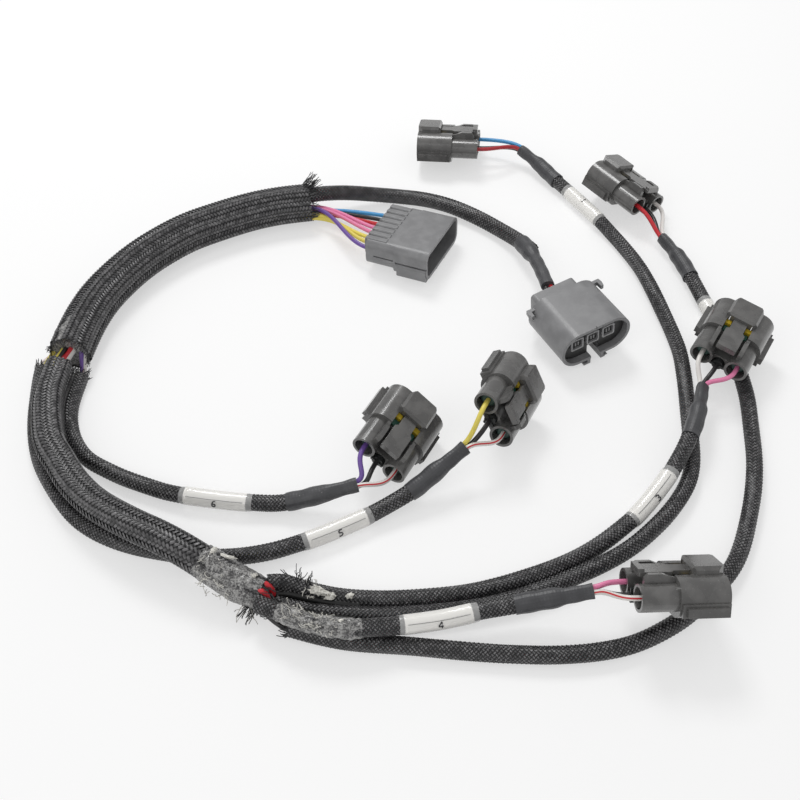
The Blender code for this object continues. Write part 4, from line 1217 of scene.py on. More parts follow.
def oval_towers():
    """Three square towers on a dark base: pale rims round a narrow terminal slot. Near-black blocks
    in the towers are painted shade, and so is the deep part of the base.
    """
    floor = POWER_REAR + 4.35
    # The base stands for the dark insert, and it reaches to 3.2 mm from the mouth, so that it also
    # paints the shade deep in the mouth.
    base = fused([prism(round_box(34.1, 16.1, 7.5, steps=12), floor, POWER_LENGTH - 3.2)],
                 [block((floor - 1, -3.0, -POWER_H), (POWER_LENGTH, 3.0, -3.6))], edge=0.2)
    towers = []
    shade_blocks = []
    for i in range(3):
        y = POWER_PITCH * (i - 1) - 1.0
        adds = [prism(round_box(6.9, 6.9, 0.9, y=y, z=2.4), floor + 1, POWER_LENGTH - 1.4)]
        cuts = [prism(round_box(5.2, 5.2, 0.6, y=y, z=2.4), floor + 6, POWER_LENGTH)]
        towers.append(fused(adds, cuts, edge=0.3))
        # A near-black block deep in each tower: painted shade in its terminal slot.
        shade_blocks.append(prism(round_box(5.1, 5.1, 0.6, y=y, z=2.4), floor + 5, POWER_LENGTH - 2.6))
        for left in (y - 1.0, y + 0.5):
            lip = block((POWER_LENGTH - 5, left, 1.2), (POWER_LENGTH - 1.9, left + 0.5, 3.4))
            towers.append(fused([lip], edge=0.1))
    return base, joined(towers), fused(shade_blocks, edge=0.1)


MAIN_FRAME = pose_matrix(MAIN_POSE)
POWER_FRAME = pose_matrix(POWER_POSE)
TOWER_GREY = nylon("tower_grey", (0.24, 0.24, 0.245), (0.30, 0.30, 0.305), 0.4, coat=0.3)
# Near black. In the oval plug it is also painted shade: the tower blocks and the base that fills
# the mouth.
DARK = finish("deep_black", (0.02, 0.02, 0.02), 0.5)
BLADE = finish("plated_blade", (0.55, 0.42, 0.20), 0.35, metallic=0.9)

plate, blades = wide_plug_pins()
base, towers, tower_shade = oval_towers()
placed("main_plug_body", wide_plug(), MAIN_FRAME, PLUG_GREY, "light_grey_nylon",
       "main_plug_housing")
placed("main_plug_floor", plate, MAIN_FRAME, DARK, "light_grey_nylon")
placed("main_plug_blades", blades, MAIN_FRAME, BLADE, "plated_pins", "main_plug_pins")
placed("oval_plug_body", oval_plug(), POWER_FRAME, PLUG_GREY, "light_grey_nylon",
       "power_plug_housing")
placed("oval_plug_base", base, POWER_FRAME, DARK, "grey_nylon", "power_plug_insert")
placed("oval_plug_towers", towers, POWER_FRAME, TOWER_GREY, "grey_nylon")
placed("oval_plug_cavities", tower_shade, POWER_FRAME, DARK, "grey_nylon")
print("engine plugs placed")

# %% [markdown]
# ## One coil branch
#
# With the path in hand a branch is a list of stretches of it: the braid up to the boot, three
# wires inside, a white label 27 mm long under a slightly longer clear tube, and the boot, which
# shrinks from the sleeve down on to the three wires and keeps their shape as three soft ridges.

# %% Labels, boots and clear tube
# How far the ribbons' middle lies inside a thin sleeve's outline, in millimetres.
BRAID_INSET = 0.22
# In metres: half the paper's length, and how far the clear tube goes back and ahead of its middle.
LABEL_HALF = 0.0135
TUBE_BACK = 0.0155
TUBE_AHEAD = 0.0160
LABEL = finish("label_white", (0.97, 0.95, 0.91), 0.4, coat=0.4)
INK = finish("label_ink", (0.02, 0.02, 0.025), 0.4)
CLEAR = finish("clear_shrink_tube", (0.93, 0.93, 0.92), 0.12, coat=0.6)
shader_of(CLEAR).inputs["Alpha"].default_value = 0.34


def boot_finish():
    """Grey heat-shrink: soft sheen, with the braid's pattern printing faintly through."""
    made = finish("heat_shrink_grey", (0.050, 0.050, 0.054), 0.42)
    along, around = wrap(made)
    weave = (along * 22 + around * 62.8).sin() * (along * 22 - around * 62.8).sin()
    bump(made, weave + noise(made, 500, 3) * 2, 0.00007, 0.5)
    cloud = noise(made, 220, 3)
    paint(made, mixed(made, cloud, (0.040, 0.040, 0.043), (0.085, 0.086, 0.092)))
    return made


def s_curve(along, place, width):
    """0 before a place on the path, 1 after it, and an S-curve of this width between."""
    return 1 / (1 + np.exp(-(along - place) / width))


BOOT = boot_finish()
# A boot's radius over the sleeve, and how much narrower it is over the wires, in millimetres.
BOOT_R = 4.02
BOOT_STEP = 1.02
print("finishes for labels, clear tube and boots are made")

# %% [markdown]
# A text object would bring a whole font for one digit. A few pen strokes do as well: each is a
# curve with a round bevel, laid on the paper by turning its points round the cord.

# %% Digits
# Pen strokes in a box 1 wide and 1.5 high.
STROKES = {
    1: [[(0.25, 1.2), (0.55, 1.5), (0.55, 0.0)]],
    2: [[(0.05, 1.2), (0.25, 1.5), (0.75, 1.5), (0.95, 1.15), (0.8, 0.8), (0.05, 0.0), (1, 0.0)]],
    3: [[(0.05, 1.4), (0.5, 1.5), (0.9, 1.2), (0.75, 0.85), (0.4, 0.8)],
        [(0.4, 0.8), (0.8, 0.7), (0.95, 0.35), (0.55, 0.0), (0.05, 0.15)]],
    4: [[(0.75, 0.0), (0.75, 1.5), (0.0, 0.5), (1.0, 0.5)]],
    5: [[(0.9, 1.5), (0.2, 1.5), (0.1, 0.85), (0.6, 0.95), (0.95, 0.5), (0.6, 0.0), (0.05, 0.1)]],
    6: [[(0.85, 1.4), (0.35, 1.3), (0.08, 0.6), (0.3, 0.02), (0.75, 0.05), (0.92, 0.5),
         (0.6, 0.85), (0.12, 0.6)]],
}
# The box's width in millimetres, the middle of its height in its own units, and the pen's
# radius in metres. Then, in radians, how far the digit and the paper's seam sit off the view.
DIGIT_SIZE = 2.0
DIGIT_MIDDLE = 0.75
PEN_R = 0.00026
DIGIT_OFF = math.radians(32)
SEAM_OFF = 0.10


def digit(name, number, path, radius):
    """The label's number as round pen strokes, on the side of the tube that the camera sees."""
    ahead, side, up = frames(path)
    middle = len(path) // 2
    sight = np.array(camera.location) - path[middle]
    facing = math.atan2(sight @ up[middle], sight @ side[middle])
    strokes = []
    for stroke in STROKES[number]:
        points = []
        for x, y in stroke:
            turn = facing + DIGIT_OFF - (y - DIGIT_MIDDLE) * DIGIT_SIZE / radius
            out = side[middle] * math.cos(turn) + up[middle] * math.sin(turn)
            slide = ahead[middle] * (x - 0.5) * DIGIT_SIZE
            points.append((path[middle] / MM + out * (radius + 0.06) + slide) * MM)
        line = line_object(finer(np.array(points), 0.0002))
        line.data.bevel_depth = PEN_R
        line.data.bevel_resolution = 1
        strokes.append(evaluated(line))
        bpy.data.objects.remove(line)
    if number > 2:
        # The paper's overlap shows as one thin line along the label.
        turn = facing + SEAM_OFF
        seam = path + (side * math.cos(turn) + up * math.sin(turn)) * radius * MM
        strokes.append(loft(seam[2:-2], 0.00009, 6))
    return piece(name, joined(strokes), INK, "white_label")


# %% [markdown]
# Now the pieces of one branch. Each function takes the same path and uses its own stretch of
# it, so a change to a route moves the sleeve, label, boot and wires together.

# %% All six branches
def shifted(*points):
    """Points given like the routes, as metres from the middle."""
    return [np.array([(x - CENTRE_X) * MM, (y - CENTRE_Y) * MM, z * MM]) for x, y, z in points]


# Three touching wires: this many wire radii lie between their middle and each wire's own.
TOUCHING = 1.155
# Where a sleeve's open end reaches back towards the second split.
OPEN_ENDS = {1: shifted((-49.5, -112.8, 5.4)),
             3: shifted((-52.4, -106.8, 9.7), (-48.7, -106.3, 9.6)),
             4: shifted((-55.5, -116.8, 10.6), (-52.5, -118.3, 11.3))}


def label_on(number, path, middle):
    """The paper label, the clear tube over it and the digit between them."""
    name = f"coil_{number}"
    tag_r = SLEEVE_R + 0.30
    tag_path = stretch_of(path, middle - LABEL_HALF, middle + LABEL_HALF)
    label = piece(f"{name}_paper_label", loft(tag_path, tag_r * MM, 40), LABEL, "white_label",
                  f"{name}_label")
    tube_path = stretch_of(path, middle - TUBE_BACK, middle + TUBE_AHEAD)
    tube_length = lengths(tube_path)[-1]

    def tube_radius(s, a):
        near_end = np.minimum(s, tube_length - s) / 0.0022
        return (tag_r - 0.12 + 0.30 * np.clip(near_end, 0, 1)) * MM + 0.00003 * np.cos(5 * a)

    clear = piece(f"{name}_clear_tube", loft(tube_path, tube_radius, 40, caps=False), CLEAR,
                  "white_label")
    return [label, clear, digit(f"{name}_digit", number, tag_path, tag_r + 0.16)]


def boot_on(number, path, total):
    """The heat-shrink boot: a plain tube over the sleeve, three soft ridges over the wires."""
    name = f"coil_{number}"
    boot_path = stretch_of(path, total - BOOT_LENGTH * MM, total)
    step = (BOOT_LENGTH - BOOT_OVER_WIRES + 1.5) * MM

    def boot_radius(s, a):
        down = s_curve(s, step, 0.0009)
        ridges = 0.30 * np.cos(3 * (a - math.pi / 2) + 40 * s) * down
        swell = 0.12 * np.sin(s * 700 + number) + 0.08 * np.cos(2 * a + number)
        return (BOOT_R - BOOT_STEP * down + ridges + swell) * MM

    return piece(f"{name}_boot", loft(boot_path, boot_radius, 36), BOOT, "heat_shrink",
                 f"{name}_heat_shrink")


def bare_wires(number, path, colours):
    """Three short wires from the boot's mouth into the plug's three bores."""
    matrix = COIL_FRAMES[number]
    ahead, side, up = (v[-1] for v in frames(path[-6:]))
    made = []
    # Across and up in the plug, and the place in the boot's mouth in degrees.
    spots = ((TUBE_Y, 0.0, 150), (0.0, MIDDLE_Z, 270), (-TUBE_Y, 0.0, 30))
    for index, ((y, z, around), colour) in enumerate(zip(spots, colours)):
        turn = math.radians(around)
        out = (up * math.sin(turn) - side * math.cos(turn)) * WIRE_R * TOUCHING * MM
        hole = [in_frame(matrix, x, y, z) for x in (-0.5, 2.0, 6.0)]
        run = joining_run(path[-1] + out, ahead, back=0.006, reach=0.006,
                          arrive=in_frame(matrix, -9.5, y, z), hole=hole)
        made.append(wire(f"coil_{number}_wire_{colour}", run, colour,
                         *first_only(index, f"coil_{number}_wires"), slot=f"wires_{number}"))
    return made


def branch(number):
    name = f"coil_{number}"
    path = COIL_PATHS[number]
    total = lengths(path)[-1]
    end = total - BOOT_OVER_WIRES * MM
    colours = BRANCH_WIRES[number]
    line = np.vstack([*OPEN_ENDS.get(number, []), stretch(path, 0.0, end)])
    covered = sleeve(f"{name}_braid", line, (SLEEVE_R - BRAID_INSET) * MM,
                     f"{name}_sleeve", Lobe_Twist=80.0 + 9 * number)
    inner = core(f"{name}_inner_wires", stretch(path, 0.004, end - 0.002), colours,
                 offset=1.55, radius=1.35, turns_per_metre=14.0)
    label, clear, ink = label_on(number, path, total - LABEL_BACK[number] * MM)
    boot = boot_on(number, path, total)
    bare = bare_wires(number, path, colours)


for number in COILS:
    branch(number)

# %% [markdown]
# ## Trunk, middle bundle and the engine plugs' wires
#
# The thick sleeves are the same braid with more and wider ribbons. Their lobes run nearly
# straight, because the wires inside lie side by side, and a near-black core of painted shade
# fills what shows between.

# %% Thick sleeves
# Near black: painted shade for the inside of a thick sleeve, where the wires lie in shade.
SLEEVE_INSIDE_SHADE = finish("painted_shade_core", (0.012, 0.012, 0.013), 0.6)
# The lobes reach this far out of the weave, so it starts this far inside the outline.
TRUNK_INSET = 0.7
MID_INSET = 0.55


def thick_sleeve(name, path, radius, replaced, cad_diameter, far_end, **sizes):
    """A woven sleeve over a near-black core of painted shade. Radii are in millimetres."""
    covered = sleeve(name, path, radius * MM, replaced, **sizes)
    inside = stretch_of(path, 0.006, lengths(path)[-1] - 0.006, 0.004)
    filler = piece(f"{name}_core", loft(inside, (radius - 1.0) * MM, 24), SLEEVE_INSIDE_SHADE,
                   "black_braid")


thick_sleeve("trunk_braid", TRUNK_PATH, TRUNK_R - TRUNK_INSET, "trunk_sleeve", 2 * TRUNK_R,
             "object", Chevrons=1.0, Ribbons=26, Slope=1.3, Width=0.00122, Thickness=0.0005,
             Weave=0.00026, Lobes=7, Lobe_Depth=0.00065, Lobe_Twist=9.0)
thick_sleeve("middle_braid", MID_PATH, MID_R - MID_INSET, "mid_sleeve", 2 * MID_R,
             "object", Chevrons=1.0, Ribbons=18, Slope=1.2, Width=0.0012, Thickness=0.0004,
             Weave=0.00023, Lobes=5, Lobe_Depth=0.00055, Lobe_Twist=12.0)

# %% [markdown]
# The oval plug's branch takes the same pieces, but its boot has to bend down from the route into
# the plug, so the boot gets a path of its own: a stretch of the route and two points at the plug.

# %% The oval plug's branch
# The boot starts and its route bends off this far from the route's end, in metres, and the
# tight curve between the route and the plug is averaged out in this many passes.
POWER_BOOT_BACK = 0.022
POWER_BOOT_LEAVE = 0.004
POWER_BOOT_PASSES = 500

power_total = lengths(POWER_PATH)[-1]
power_end = power_total - 0.012
power_sleeve = sleeve("oval_plug_braid", stretch(POWER_PATH, 0.0, power_end),
                      (POWER_SLEEVE_R - BRAID_INSET) * MM, "power_sleeve", Ribbons=13,
                      Lobe_Twist=70.0)
power_core = core("oval_plug_inner_wires", stretch(POWER_PATH, 0.004, power_end - 0.002),
                  ("red", "black", "red"), offset=1.7, radius=1.5, turns_per_metre=12.0)
power_boot_path = finer(np.vstack([
    stretch(POWER_PATH, power_total - POWER_BOOT_BACK, power_total - POWER_BOOT_LEAVE),
    in_frame(POWER_FRAME, -10.5, 0.4, 1.0), in_frame(POWER_FRAME, -7.5, 0.4, 0.9)]), 0.0006)
for _ in range(POWER_BOOT_PASSES):
    power_boot_path[1:-1] = (power_boot_path[:-2] + power_boot_path[2:]) / 2


def power_boot_radius(s, a):
    down = s_curve(s, 0.0140, 0.0014)
    return (4.5 - 1.3 * down + 0.2 * np.cos(2 * a) * down + 0.1 * np.sin(s * 650)) * MM


power_boot = piece("oval_plug_boot", loft(power_boot_path, power_boot_radius, 36), BOOT,
                   "heat_shrink", "power_heat_shrink")

ahead, side, up = (v[-1] for v in frames(power_boot_path[-6:]))
for index, (shift, y, colour) in enumerate(((0.0013, 2.0, "red"), (-0.0013, -4.0, "black"))):
    hole = [in_frame(POWER_FRAME, x, y, HOLE_Z) for x in (-0.3, 2.0, 4.5)]
    run = joining_run(power_boot_path[-1] + side * shift, ahead, back=0.003, reach=0.001,
                      arrive=in_frame(POWER_FRAME, -2.5, y * 0.6, HOLE_Z), hole=hole)
    wire(f"oval_plug_wire_{colour}", run, colour,
                           *first_only(index, "power_plug_wires"), slot="wires_1")

# %% The wide plug's eight wires
MAIN_COLOURS = ("blue", "black", "red", "pink", "pink", "yellow", "yellow", "purple")
ahead, side, up = (v[0] for v in frames(TRUNK_PATH[:6]))
ahead = -ahead
main_root = TRUNK_PATH[0] + side * 0.0023 - up * 0.0030
# Where each leaves the trunk, in mm to the far side and up. The purple one starts on top and
# crosses over to the near edge, and the yellow ones pass under it.
MAIN_STARTS = ((2.4, -2.4), (0.8, -2.6), (-0.9, -2.4), (3.4, -0.2), (1.4, 0.2), (-4.4, -1.9),
               (-3.0, -0.3), (-0.4, 2.2))
for index, (y, colour) in enumerate(zip(reversed(MAIN_Y), MAIN_COLOURS)):
    far, high = MAIN_STARTS[index]
    start = main_root - ahead * 0.003 + (up * high - side * far) * MM
    arrive = in_frame(MAIN_FRAME, -13 - 2 * (index % 2), y, HOLE_Z + high * 0.5)
    hole = [in_frame(MAIN_FRAME, x, y, HOLE_Z) for x in (-0.3, 3.0, 6.0)]
    run = joining_run(start, ahead, back=0.006, reach=0.017, arrive=arrive, hole=hole)
    wire(f"main_plug_wire_{index + 1}", run, colour, *first_only(index, "main_plug_wires"),
         slot="wires_6")
print("wires of the wide plug:", len(MAIN_STARTS))

# %% [markdown]
# ## Where the harness splits
#
# At each split the thick sleeve just ends. Bare wires cross the gap into the open ends of the
# thinner sleeves, and the cut ribbons fray.

# %% Bare wires at the splits
def split_wires(name, parent_path, runs, replaced, slot, reach):
    """Wires from a thick sleeve's end into thinner ones.

    Each is given as mm to the side and up at the thick end, the path that it goes to, its
    colour, and mm to the side at the thin end.
    """
    ahead, side, up = (v[-1] for v in frames(parent_path[-6:]))
    for index, (across, high, path, colour, aside) in enumerate(runs):
        start = parent_path[-1] + (side * across + up * high) * MM - ahead * 0.005
        inward = (path[2] - path[0]) / np.linalg.norm(path[2] - path[0])
        target = path[0] + side * aside * MM
        hole = [target, target + inward * 0.003, target + inward * 0.006]
        run = joining_run(start, ahead, back=0.004, reach=reach,
                          arrive=target - inward * reach, hole=hole)
        wire(f"{name}_{index + 1}", run, colour, *first_only(index, replaced), slot=slot)


split_wires("first_split_wire", TRUNK_PATH, [
    (-7.0, 0.5, COIL_PATHS[5], "yellow", 0.8), (-6.2, -1.5, COIL_PATHS[5], "white_red", -1.2),
    (-2.5, 2.0, MID_PATH, "yellow", -3.2), (-1.0, 3.2, MID_PATH, "black", -2.0),
    (0.5, 1.5, MID_PATH, "red", -0.6), (1.5, 3.5, MID_PATH, "red", 1.0),
    (2.6, 2.2, MID_PATH, "white", 2.4), (5.0, 2.0, COIL_PATHS[6], "purple", 0.0),
    (6.0, 0.2, COIL_PATHS[6], "white_red", 1.3)], "breakout_1_wires", "wires_5", reach=0.006)
split_wires("second_split_wire", MID_PATH, [
    (3.5, 1.0, COIL_PATHS[3], "red", 0.0), (2.2, 2.5, COIL_PATHS[3], "white", 1.0),
    (1.0, 2.0, COIL_PATHS[1], "red", 0.8), (0.0, 0.5, COIL_PATHS[1], "black", -0.8),
    (-1.5, 3.0, COIL_PATHS[4], "red", 1.0), (-2.0, 1.0, COIL_PATHS[4], "pink", -0.8),
    (-3.5, 1.5, COIL_PATHS[2], "red", 0.6), (-4.2, 0.0, COIL_PATHS[2], "black", -0.8),
    (-3.4, 4.2, COIL_PATHS[1], "white", -1.0)],
    "breakout_2_wires", "wires_2", reach=0.007)

# Two thick red wires come up out of the glue at the middle sleeve's end and dive between the
# open ends of the branches: mm ahead of the end, to the side and up.
ahead, side, up = (v[-1] for v in frames(MID_PATH[-6:]))
for index, across in enumerate((2.0, -1.6)):
    arch = [MID_PATH[-1] + (ahead * a + side * (across + shift) + up * h) * MM
            for a, shift, h in ((-4.0, 0.0, 3.6), (-1.8, 0.0, 5.0), (0.0, 0.0, 6.1),
                                (1.6, -0.1, 6.2), (3.0, -0.2, 5.0), (4.0, -0.3, 2.8),
                                (4.6, -0.3, 0.8))]
    wire(f"second_split_red_{index + 1}", finer(np.array(arch), 0.0008), "red", radius=1.25)

# Two more near-black runs, painted shade, lie low between the sleeves and close the view to the
# table.
for index, (first, second, share) in enumerate(((3, 1, 0.40), (1, 4, 0.5))):
    between = COIL_PATHS[first][:16] * (1 - share) + COIL_PATHS[second][:16] * share
    run = finer(np.vstack([MID_PATH[-3], MID_PATH[-1] - [0, 0, 0.001], between]), 0.0015)
    run[:, 2] = np.maximum(run[:, 2], 0.0025)
    wire(f"second_split_dark_{index + 1}", run, "shade", radius=2.1)
print("bare wires laid across both splits")

# %% [markdown]
# ## Frayed ends
#
# A cut braid opens like a brush. One tree grows the tuft: points round a ring, a short bent
# fibre on each, leaning over by a random angle to a random side. It is made at the origin
# looking up Z, then its mesh is moved to the cut.

# %% The fray tree
def random_value(tree, low, high, seed):
    made = tree.nodes.new("FunctionNodeRandomValue")
    made.data_type = "FLOAT"
    for value, into in ((low, made.inputs[2]), (high, made.inputs[3]), (seed, made.inputs["Seed"])):
        put(tree, value, into)
    return Field(tree, made.outputs[1])


def vector_of(tree, x, y, z):
    made = tree.nodes.new("ShaderNodeCombineXYZ")
    for value, into in zip((x, y, z), made.inputs):
        put(tree, value, into)
    return made.outputs[0]


def fray_tree():
    tree, start, size = new_tree("frayed_fibres", {
        "Fibres": 60, "Ring": 0.003, "Length": 0.008, "Spread": 0.9, "Curl": 0.0006,
        "Thickness": 0.00017, "Seed": 1})
    line = tree.nodes.new("GeometryNodeCurvePrimitiveLine")
    put(tree, vector_of(tree, 0.0, 0.0, size["Length"]), line.inputs["End"])
    bent = node(tree, "GeometryNodeResampleCurve", Curve=line.outputs[0], Count=7)
    ring = tree.nodes.new("GeometryNodeMeshCircle")
    put(tree, size["Fibres"], ring.inputs["Vertices"])
    put(tree, size["Ring"], ring.inputs["Radius"])
    spin = random_value(tree, 0.0, 6.283, size["Seed"])
    lean = random_value(tree, 0.0, size["Spread"], size["Seed"] + 1)
    long = random_value(tree, 0.35, 1.15, size["Seed"] + 2)
    spread = node(tree, "GeometryNodeInstanceOnPoints", Points=ring.outputs[0],
                  Instance=bent.outputs[0], Rotation=vector_of(tree, lean, 0.0, spin),
                  Scale=vector_of(tree, long, long, long))
    real = node(tree, "GeometryNodeRealizeInstances", Geometry=spread.outputs[0])
    here = tree.nodes.new("GeometryNodeSplineParameter")
    share = Field(tree, here.outputs["Factor"])
    wander = tree.nodes.new("ShaderNodeTexNoise")
    wander.inputs["Scale"].default_value = 260
    centred = vector_math(tree, "SUBTRACT", wander.outputs["Color"],
                          vector_of(tree, 0.5, 0.5, 0.5))
    # The noise strays about a sixth from its middle, so six times that is about one Curl.
    curled = node(tree, "GeometryNodeSetPosition", Geometry=real.outputs[0],
                  Offset=vector_math(tree, "SCALE", centred, scale=share * size["Curl"] * 6))
    pen = node(tree, "GeometryNodeCurvePrimitiveCircle", Resolution=4,
               Radius=size["Thickness"])
    swept = node(tree, "GeometryNodeCurveToMesh", Curve=curled.outputs[0],
                 Profile_Curve=pen.outputs[0])
    made = node(tree, "GeometryNodeRealizeInstances", Geometry=swept.outputs[0])
    painted = node(tree, "GeometryNodeSetMaterial", Geometry=made.outputs[0],
                   Material=start.outputs["Material"])
    end = tree.nodes.new("NodeGroupOutput")
    tree.links.new(painted.outputs[0], end.inputs["Geometry"])
    return tree


FRAY_TREE = fray_tree()
FIBRE = finish("frayed_fibre", (0.035, 0.035, 0.037), 0.4)
# The tree makes its own curves, and needs this short line only as an object to sit on.
SEAT = np.array([[0, 0, 0], [0, 0, 0.001]])
TABLE_GAP = 0.0004


def fray(name, place, direction, slot="black_braid", look=FIBRE, **sizes):
    """A tuft of fibres at a point, looking along a direction, no lower than the table."""
    mesh = grown(line_object(SEAT), FRAY_TREE, look, **sizes)
    turn = Vector(direction).to_track_quat("Z", "Y").to_matrix().to_4x4()
    mesh.transform(Matrix.Translation(place) @ turn)
    points = np.empty(len(mesh.vertices) * 3)
    mesh.vertices.foreach_get("co", points)
    points = points.reshape(-1, 3)
    points[:, 2] = np.maximum(points[:, 2], TABLE_GAP)
    mesh.vertices.foreach_set("co", points.ravel())
    return piece(name, mesh, look, slot)


def ends_of(path):
    """Each end's point and the direction out of it."""
    return ((path[0], path[0] - path[3]), (path[-1], path[-1] - path[-4]))


(trunk_top, trunk_top_out), (trunk_low, trunk_low_out) = ends_of(TRUNK_PATH)
mid_low, mid_low_out = ends_of(MID_PATH)[1]
fray("trunk_top_fray", trunk_top, trunk_top_out, Fibres=90, Ring=0.0090, Length=0.0045,
     Spread=0.5, Seed=3)
fray("trunk_top_tuft", trunk_top + np.array([-0.002, 0.003, 0.0085]), (0.9, 0.4, 0.45), Fibres=44,
     Ring=0.0022, Length=0.0085, Spread=0.45, Seed=8)
fray("trunk_low_fray", trunk_low, trunk_low_out, Fibres=110, Ring=0.0092, Length=0.004,
     Spread=0.8, Seed=5)
fray("middle_low_fray", mid_low, mid_low_out, Fibres=90, Ring=0.0062, Length=0.006,
     Spread=0.8, Seed=13)
for n in COILS:
    start, out = ends_of(COIL_PATHS[n])[0]
    fray(f"coil_{n}_fray", start, out, Fibres=46, Ring=0.0033, Length=0.0035, Spread=0.8,
         Seed=20 + n)
print("frayed ends grown")

# %% [markdown]
# ## Dried glue
#
# Someone glued the splits, and the glue dried as a grey crust over the braid. Each smear is a
# ring-shaped skin round the sleeve. Summed waves with seeded phases push it in and out, so it
# dips below the braid at its ragged edge and the ribbons break through where it is thin.
# Chips and stray fibres of the same glue lie on top, as the photo shows them.

# %% Glue finishes and smears
def glue_finish(name, dark, light):
    made = finish(name, light, 0.32, coat=0.25)
    grain = noise(made, 1500, 4)
    patches = (grain * 0.6 + noise(made, 380, 3) * 0.4).ramp(0.40, 0.62)
    paint(made, mixed(made, patches, dark, light))
    bump(made, grain, 0.0004, 0.9)
    return made


GLUE = glue_finish("dried_glue_grey", (0.055, 0.054, 0.055), (0.40, 0.395, 0.385))
CHIP = glue_finish("dried_glue_pale", (0.50, 0.49, 0.45), (0.82, 0.80, 0.74))


def ripple(seed, count, finest):
    """Summed waves round and along a sleeve, mostly between -1 and 1, that meet at the seam.

    finest is the length of the shortest wave.
    """
    chance = np.random.default_rng(seed)
    waves = [(int(chance.integers(0, 9)), chance.uniform(0.15, 1.0) * 2 * math.pi / finest,
              chance.uniform(0, 2 * math.pi), chance.choice((-1, 1))) for _ in range(count)]

    def height(s, a):
        total = sum(np.cos(k * a * hand + w * s + phase) for k, w, phase, hand in waves)
        return total / math.sqrt(count)

    return height


def smear(name, path, radius, facing, reach, seed, replaced):
    """A crust round a path. In degrees, facing is its middle and reach how far it goes from it."""
    path = finer(path, 0.00045)
    total = lengths(path)[-1]
    broad = ripple(seed, 14, 0.012)
    fine = ripple(seed + 1, 22, 0.0022)

    def skin(s, a):
        turned = np.abs((a - math.radians(facing) + math.pi) % (2 * math.pi) - math.pi)
        side_edge = (math.radians(reach) - turned) * radius * 0.28
        ends = np.minimum(s, total - s) / 0.0035
        inside = np.minimum(np.minimum(side_edge, ends), 1.0)
        # Millimetres: a skin that thins out at its edges, broad swells and a fine roughness.
        lift = 0.30 * inside + 0.26 * broad(s, a) + 0.15 * fine(s, a)
        return (radius + np.clip(lift - 0.20, -0.9, 0.85)) * MM

    return piece(name, loft(path, skin, 110), GLUE, "dried_glue", replaced)


def chip(name, place, size, turn, seed):
    """A flat flake of glue, its size in mm and its turn in degrees: a lump with seeded dents."""
    lump = bmesh.new()
    bmesh.ops.create_icosphere(lump, subdivisions=3, radius=0.5)
    rough = ripple(seed, 9, 1.0)
    for vertex in lump.verts:
        around = math.atan2(vertex.co.y, vertex.co.x)
        vertex.co *= 1.0 + 0.22 * float(rough(vertex.co.z * 2, around))
    mesh = bpy.data.meshes.new(name)
    lump.to_mesh(mesh)
    lump.free()
    scale = Matrix.Diagonal((*[v * MM for v in size], 1.0))
    spin = Euler([math.radians(v) for v in turn]).to_matrix().to_4x4()
    mesh.transform(Matrix.Translation(place) @ spin @ scale)
    return piece(name, mesh, CHIP, "dried_glue")


mid_total = lengths(MID_PATH)[-1]
smear("middle_glue", stretch(MID_PATH, mid_total - 0.028, mid_total - 0.0002), MID_R + 0.1,
      facing=95, reach=150, seed=31, replaced="glue_patch_mid")
smear("coil_4_glue", stretch(COIL_PATHS[4], 0.002, 0.036), SLEEVE_R + 0.25,
      facing=90, reach=150, seed=41, replaced="glue_patch_coil_4")
trunk_total = lengths(TRUNK_PATH)[-1]
smear("trunk_glue", stretch(TRUNK_PATH, trunk_total - 0.017, trunk_total - 0.0005),
      TRUNK_R - 0.3, facing=168, reach=34, seed=51, replaced="glue_patch_trunk")

# %% Chips, lumps and stray fibres of glue
def on_sleeve(path, back, radius, angle):
    """A point on a sleeve and the way out of it.

    back counts mm from the path's start, or from its end when it is below 0.
    """
    along = back * MM if back >= 0 else lengths(path)[-1] + back * MM
    near = int(np.argmin(np.abs(lengths(path) - along)))
    side, up = (v[near] for v in frames(path)[1:])
    out = side * math.cos(math.radians(angle)) + up * math.sin(math.radians(angle))
    return path[near] + out * radius * MM, out


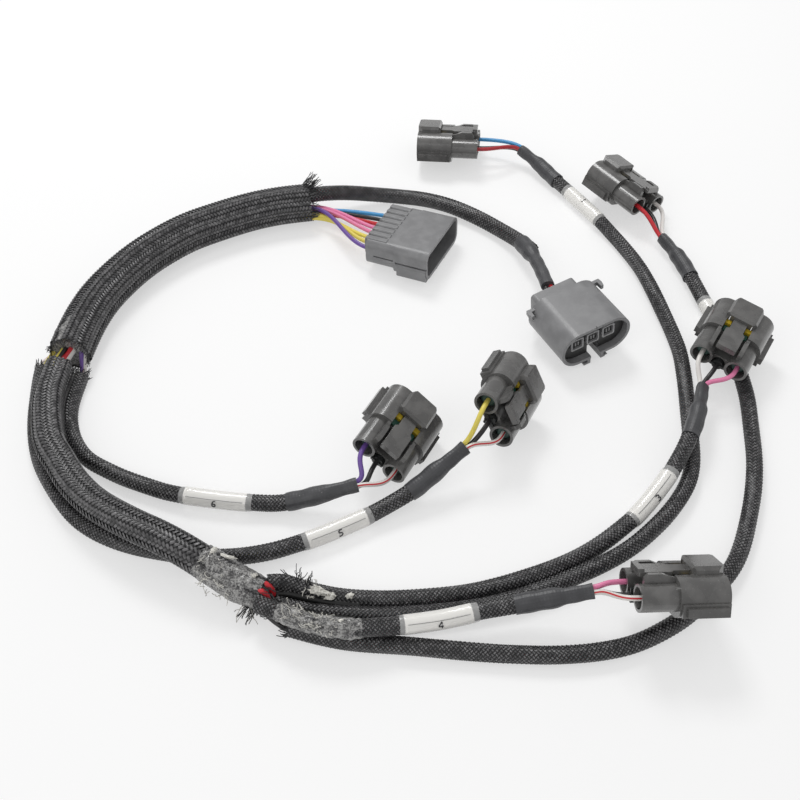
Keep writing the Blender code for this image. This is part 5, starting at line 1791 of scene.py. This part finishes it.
# Each chip: its path, mm along it, mm out, degrees round, its size and its turn.
for index, (path, back, radius, angle, size, turn) in enumerate((
        (MID_PATH, -25, 7.3, 62, (4.4, 2.2, 1.4), (35, 20, 60)),
        (MID_PATH, -20, 7.5, 55, (8.5, 1.6, 1.0), (0, 4, -12)),
        (COIL_PATHS[3], 12, 3.7, 110, (8.5, 3.6, 1.8), (20, 0, -20)),
        (COIL_PATHS[3], 18, 3.6, 125, (5.0, 3.0, 1.8), (0, 0, 10)),
        (COIL_PATHS[3], 27, 3.6, 105, (3.2, 2.6, 1.6), (0, 0, 30)),
        (COIL_PATHS[4], 27, 3.7, 70, (2.2, 1.4, 1.0), (0, 0, 0)),
        (MID_PATH, -6, 7.4, 70, (2.6, 2.0, 1.4), (0, 0, 40)))):
    chip(f"glue_chip_{index + 1}", on_sleeve(path, back, radius, angle)[0], size, turn, 60 + index)

# Each bunch of glue fibres: the same first four, then the count, the ring's radius and the
# fibres' length in mm.
FUZZ = {"slot": "dried_glue", "look": CHIP, "Spread": 1.3, "Curl": 0.0017, "Thickness": 0.00015}
for index, (path, back, radius, angle, count, ring, long) in enumerate((
        (COIL_PATHS[4], 8, 3.4, 85, 13, 3.0, 5.0), (COIL_PATHS[4], 15, 3.4, 100, 15, 3.4, 4.5),
        (COIL_PATHS[3], 11, 3.4, 120, 10, 3.0, 4.5), (MID_PATH, -3, 6.6, -150, 9, 2.0, 6.0),
        (MID_PATH, -18, 6.8, 175, 22, 5.0, 3.0), (MID_PATH, -23, 6.8, 120, 16, 5.0, 2.4),
        (COIL_PATHS[4], 22, 3.4, 110, 16, 4.0, 2.6))):
    place, out = on_sleeve(path, back, radius, angle)
    fray(f"glue_fibres_{index + 1}", place, out, Fibres=count, Ring=ring * MM, Length=long * MM,
         Seed=80 + index, **FUZZ)
# Each tuft of black filaments that stands out of a sleeve's end: the first four and the count.
for index, (path, back, radius, angle, count) in enumerate((
        (COIL_PATHS[3], 5, 3.2, 60, 11), (COIL_PATHS[3], 9, 3.2, 75, 9),
        (MID_PATH, -1, 6.2, -155, 14), (MID_PATH, -2, 6.2, -170, 10))):
    place, out = on_sleeve(path, back, radius, angle)
    fray(f"split_tuft_{index + 1}", place, out, Fibres=count, Ring=0.0011, Length=0.0065,
         Spread=0.6, Seed=95 + index)
print("glue smears, chips and fibres laid")

# %% The measured size of both models, and the last line
low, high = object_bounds()
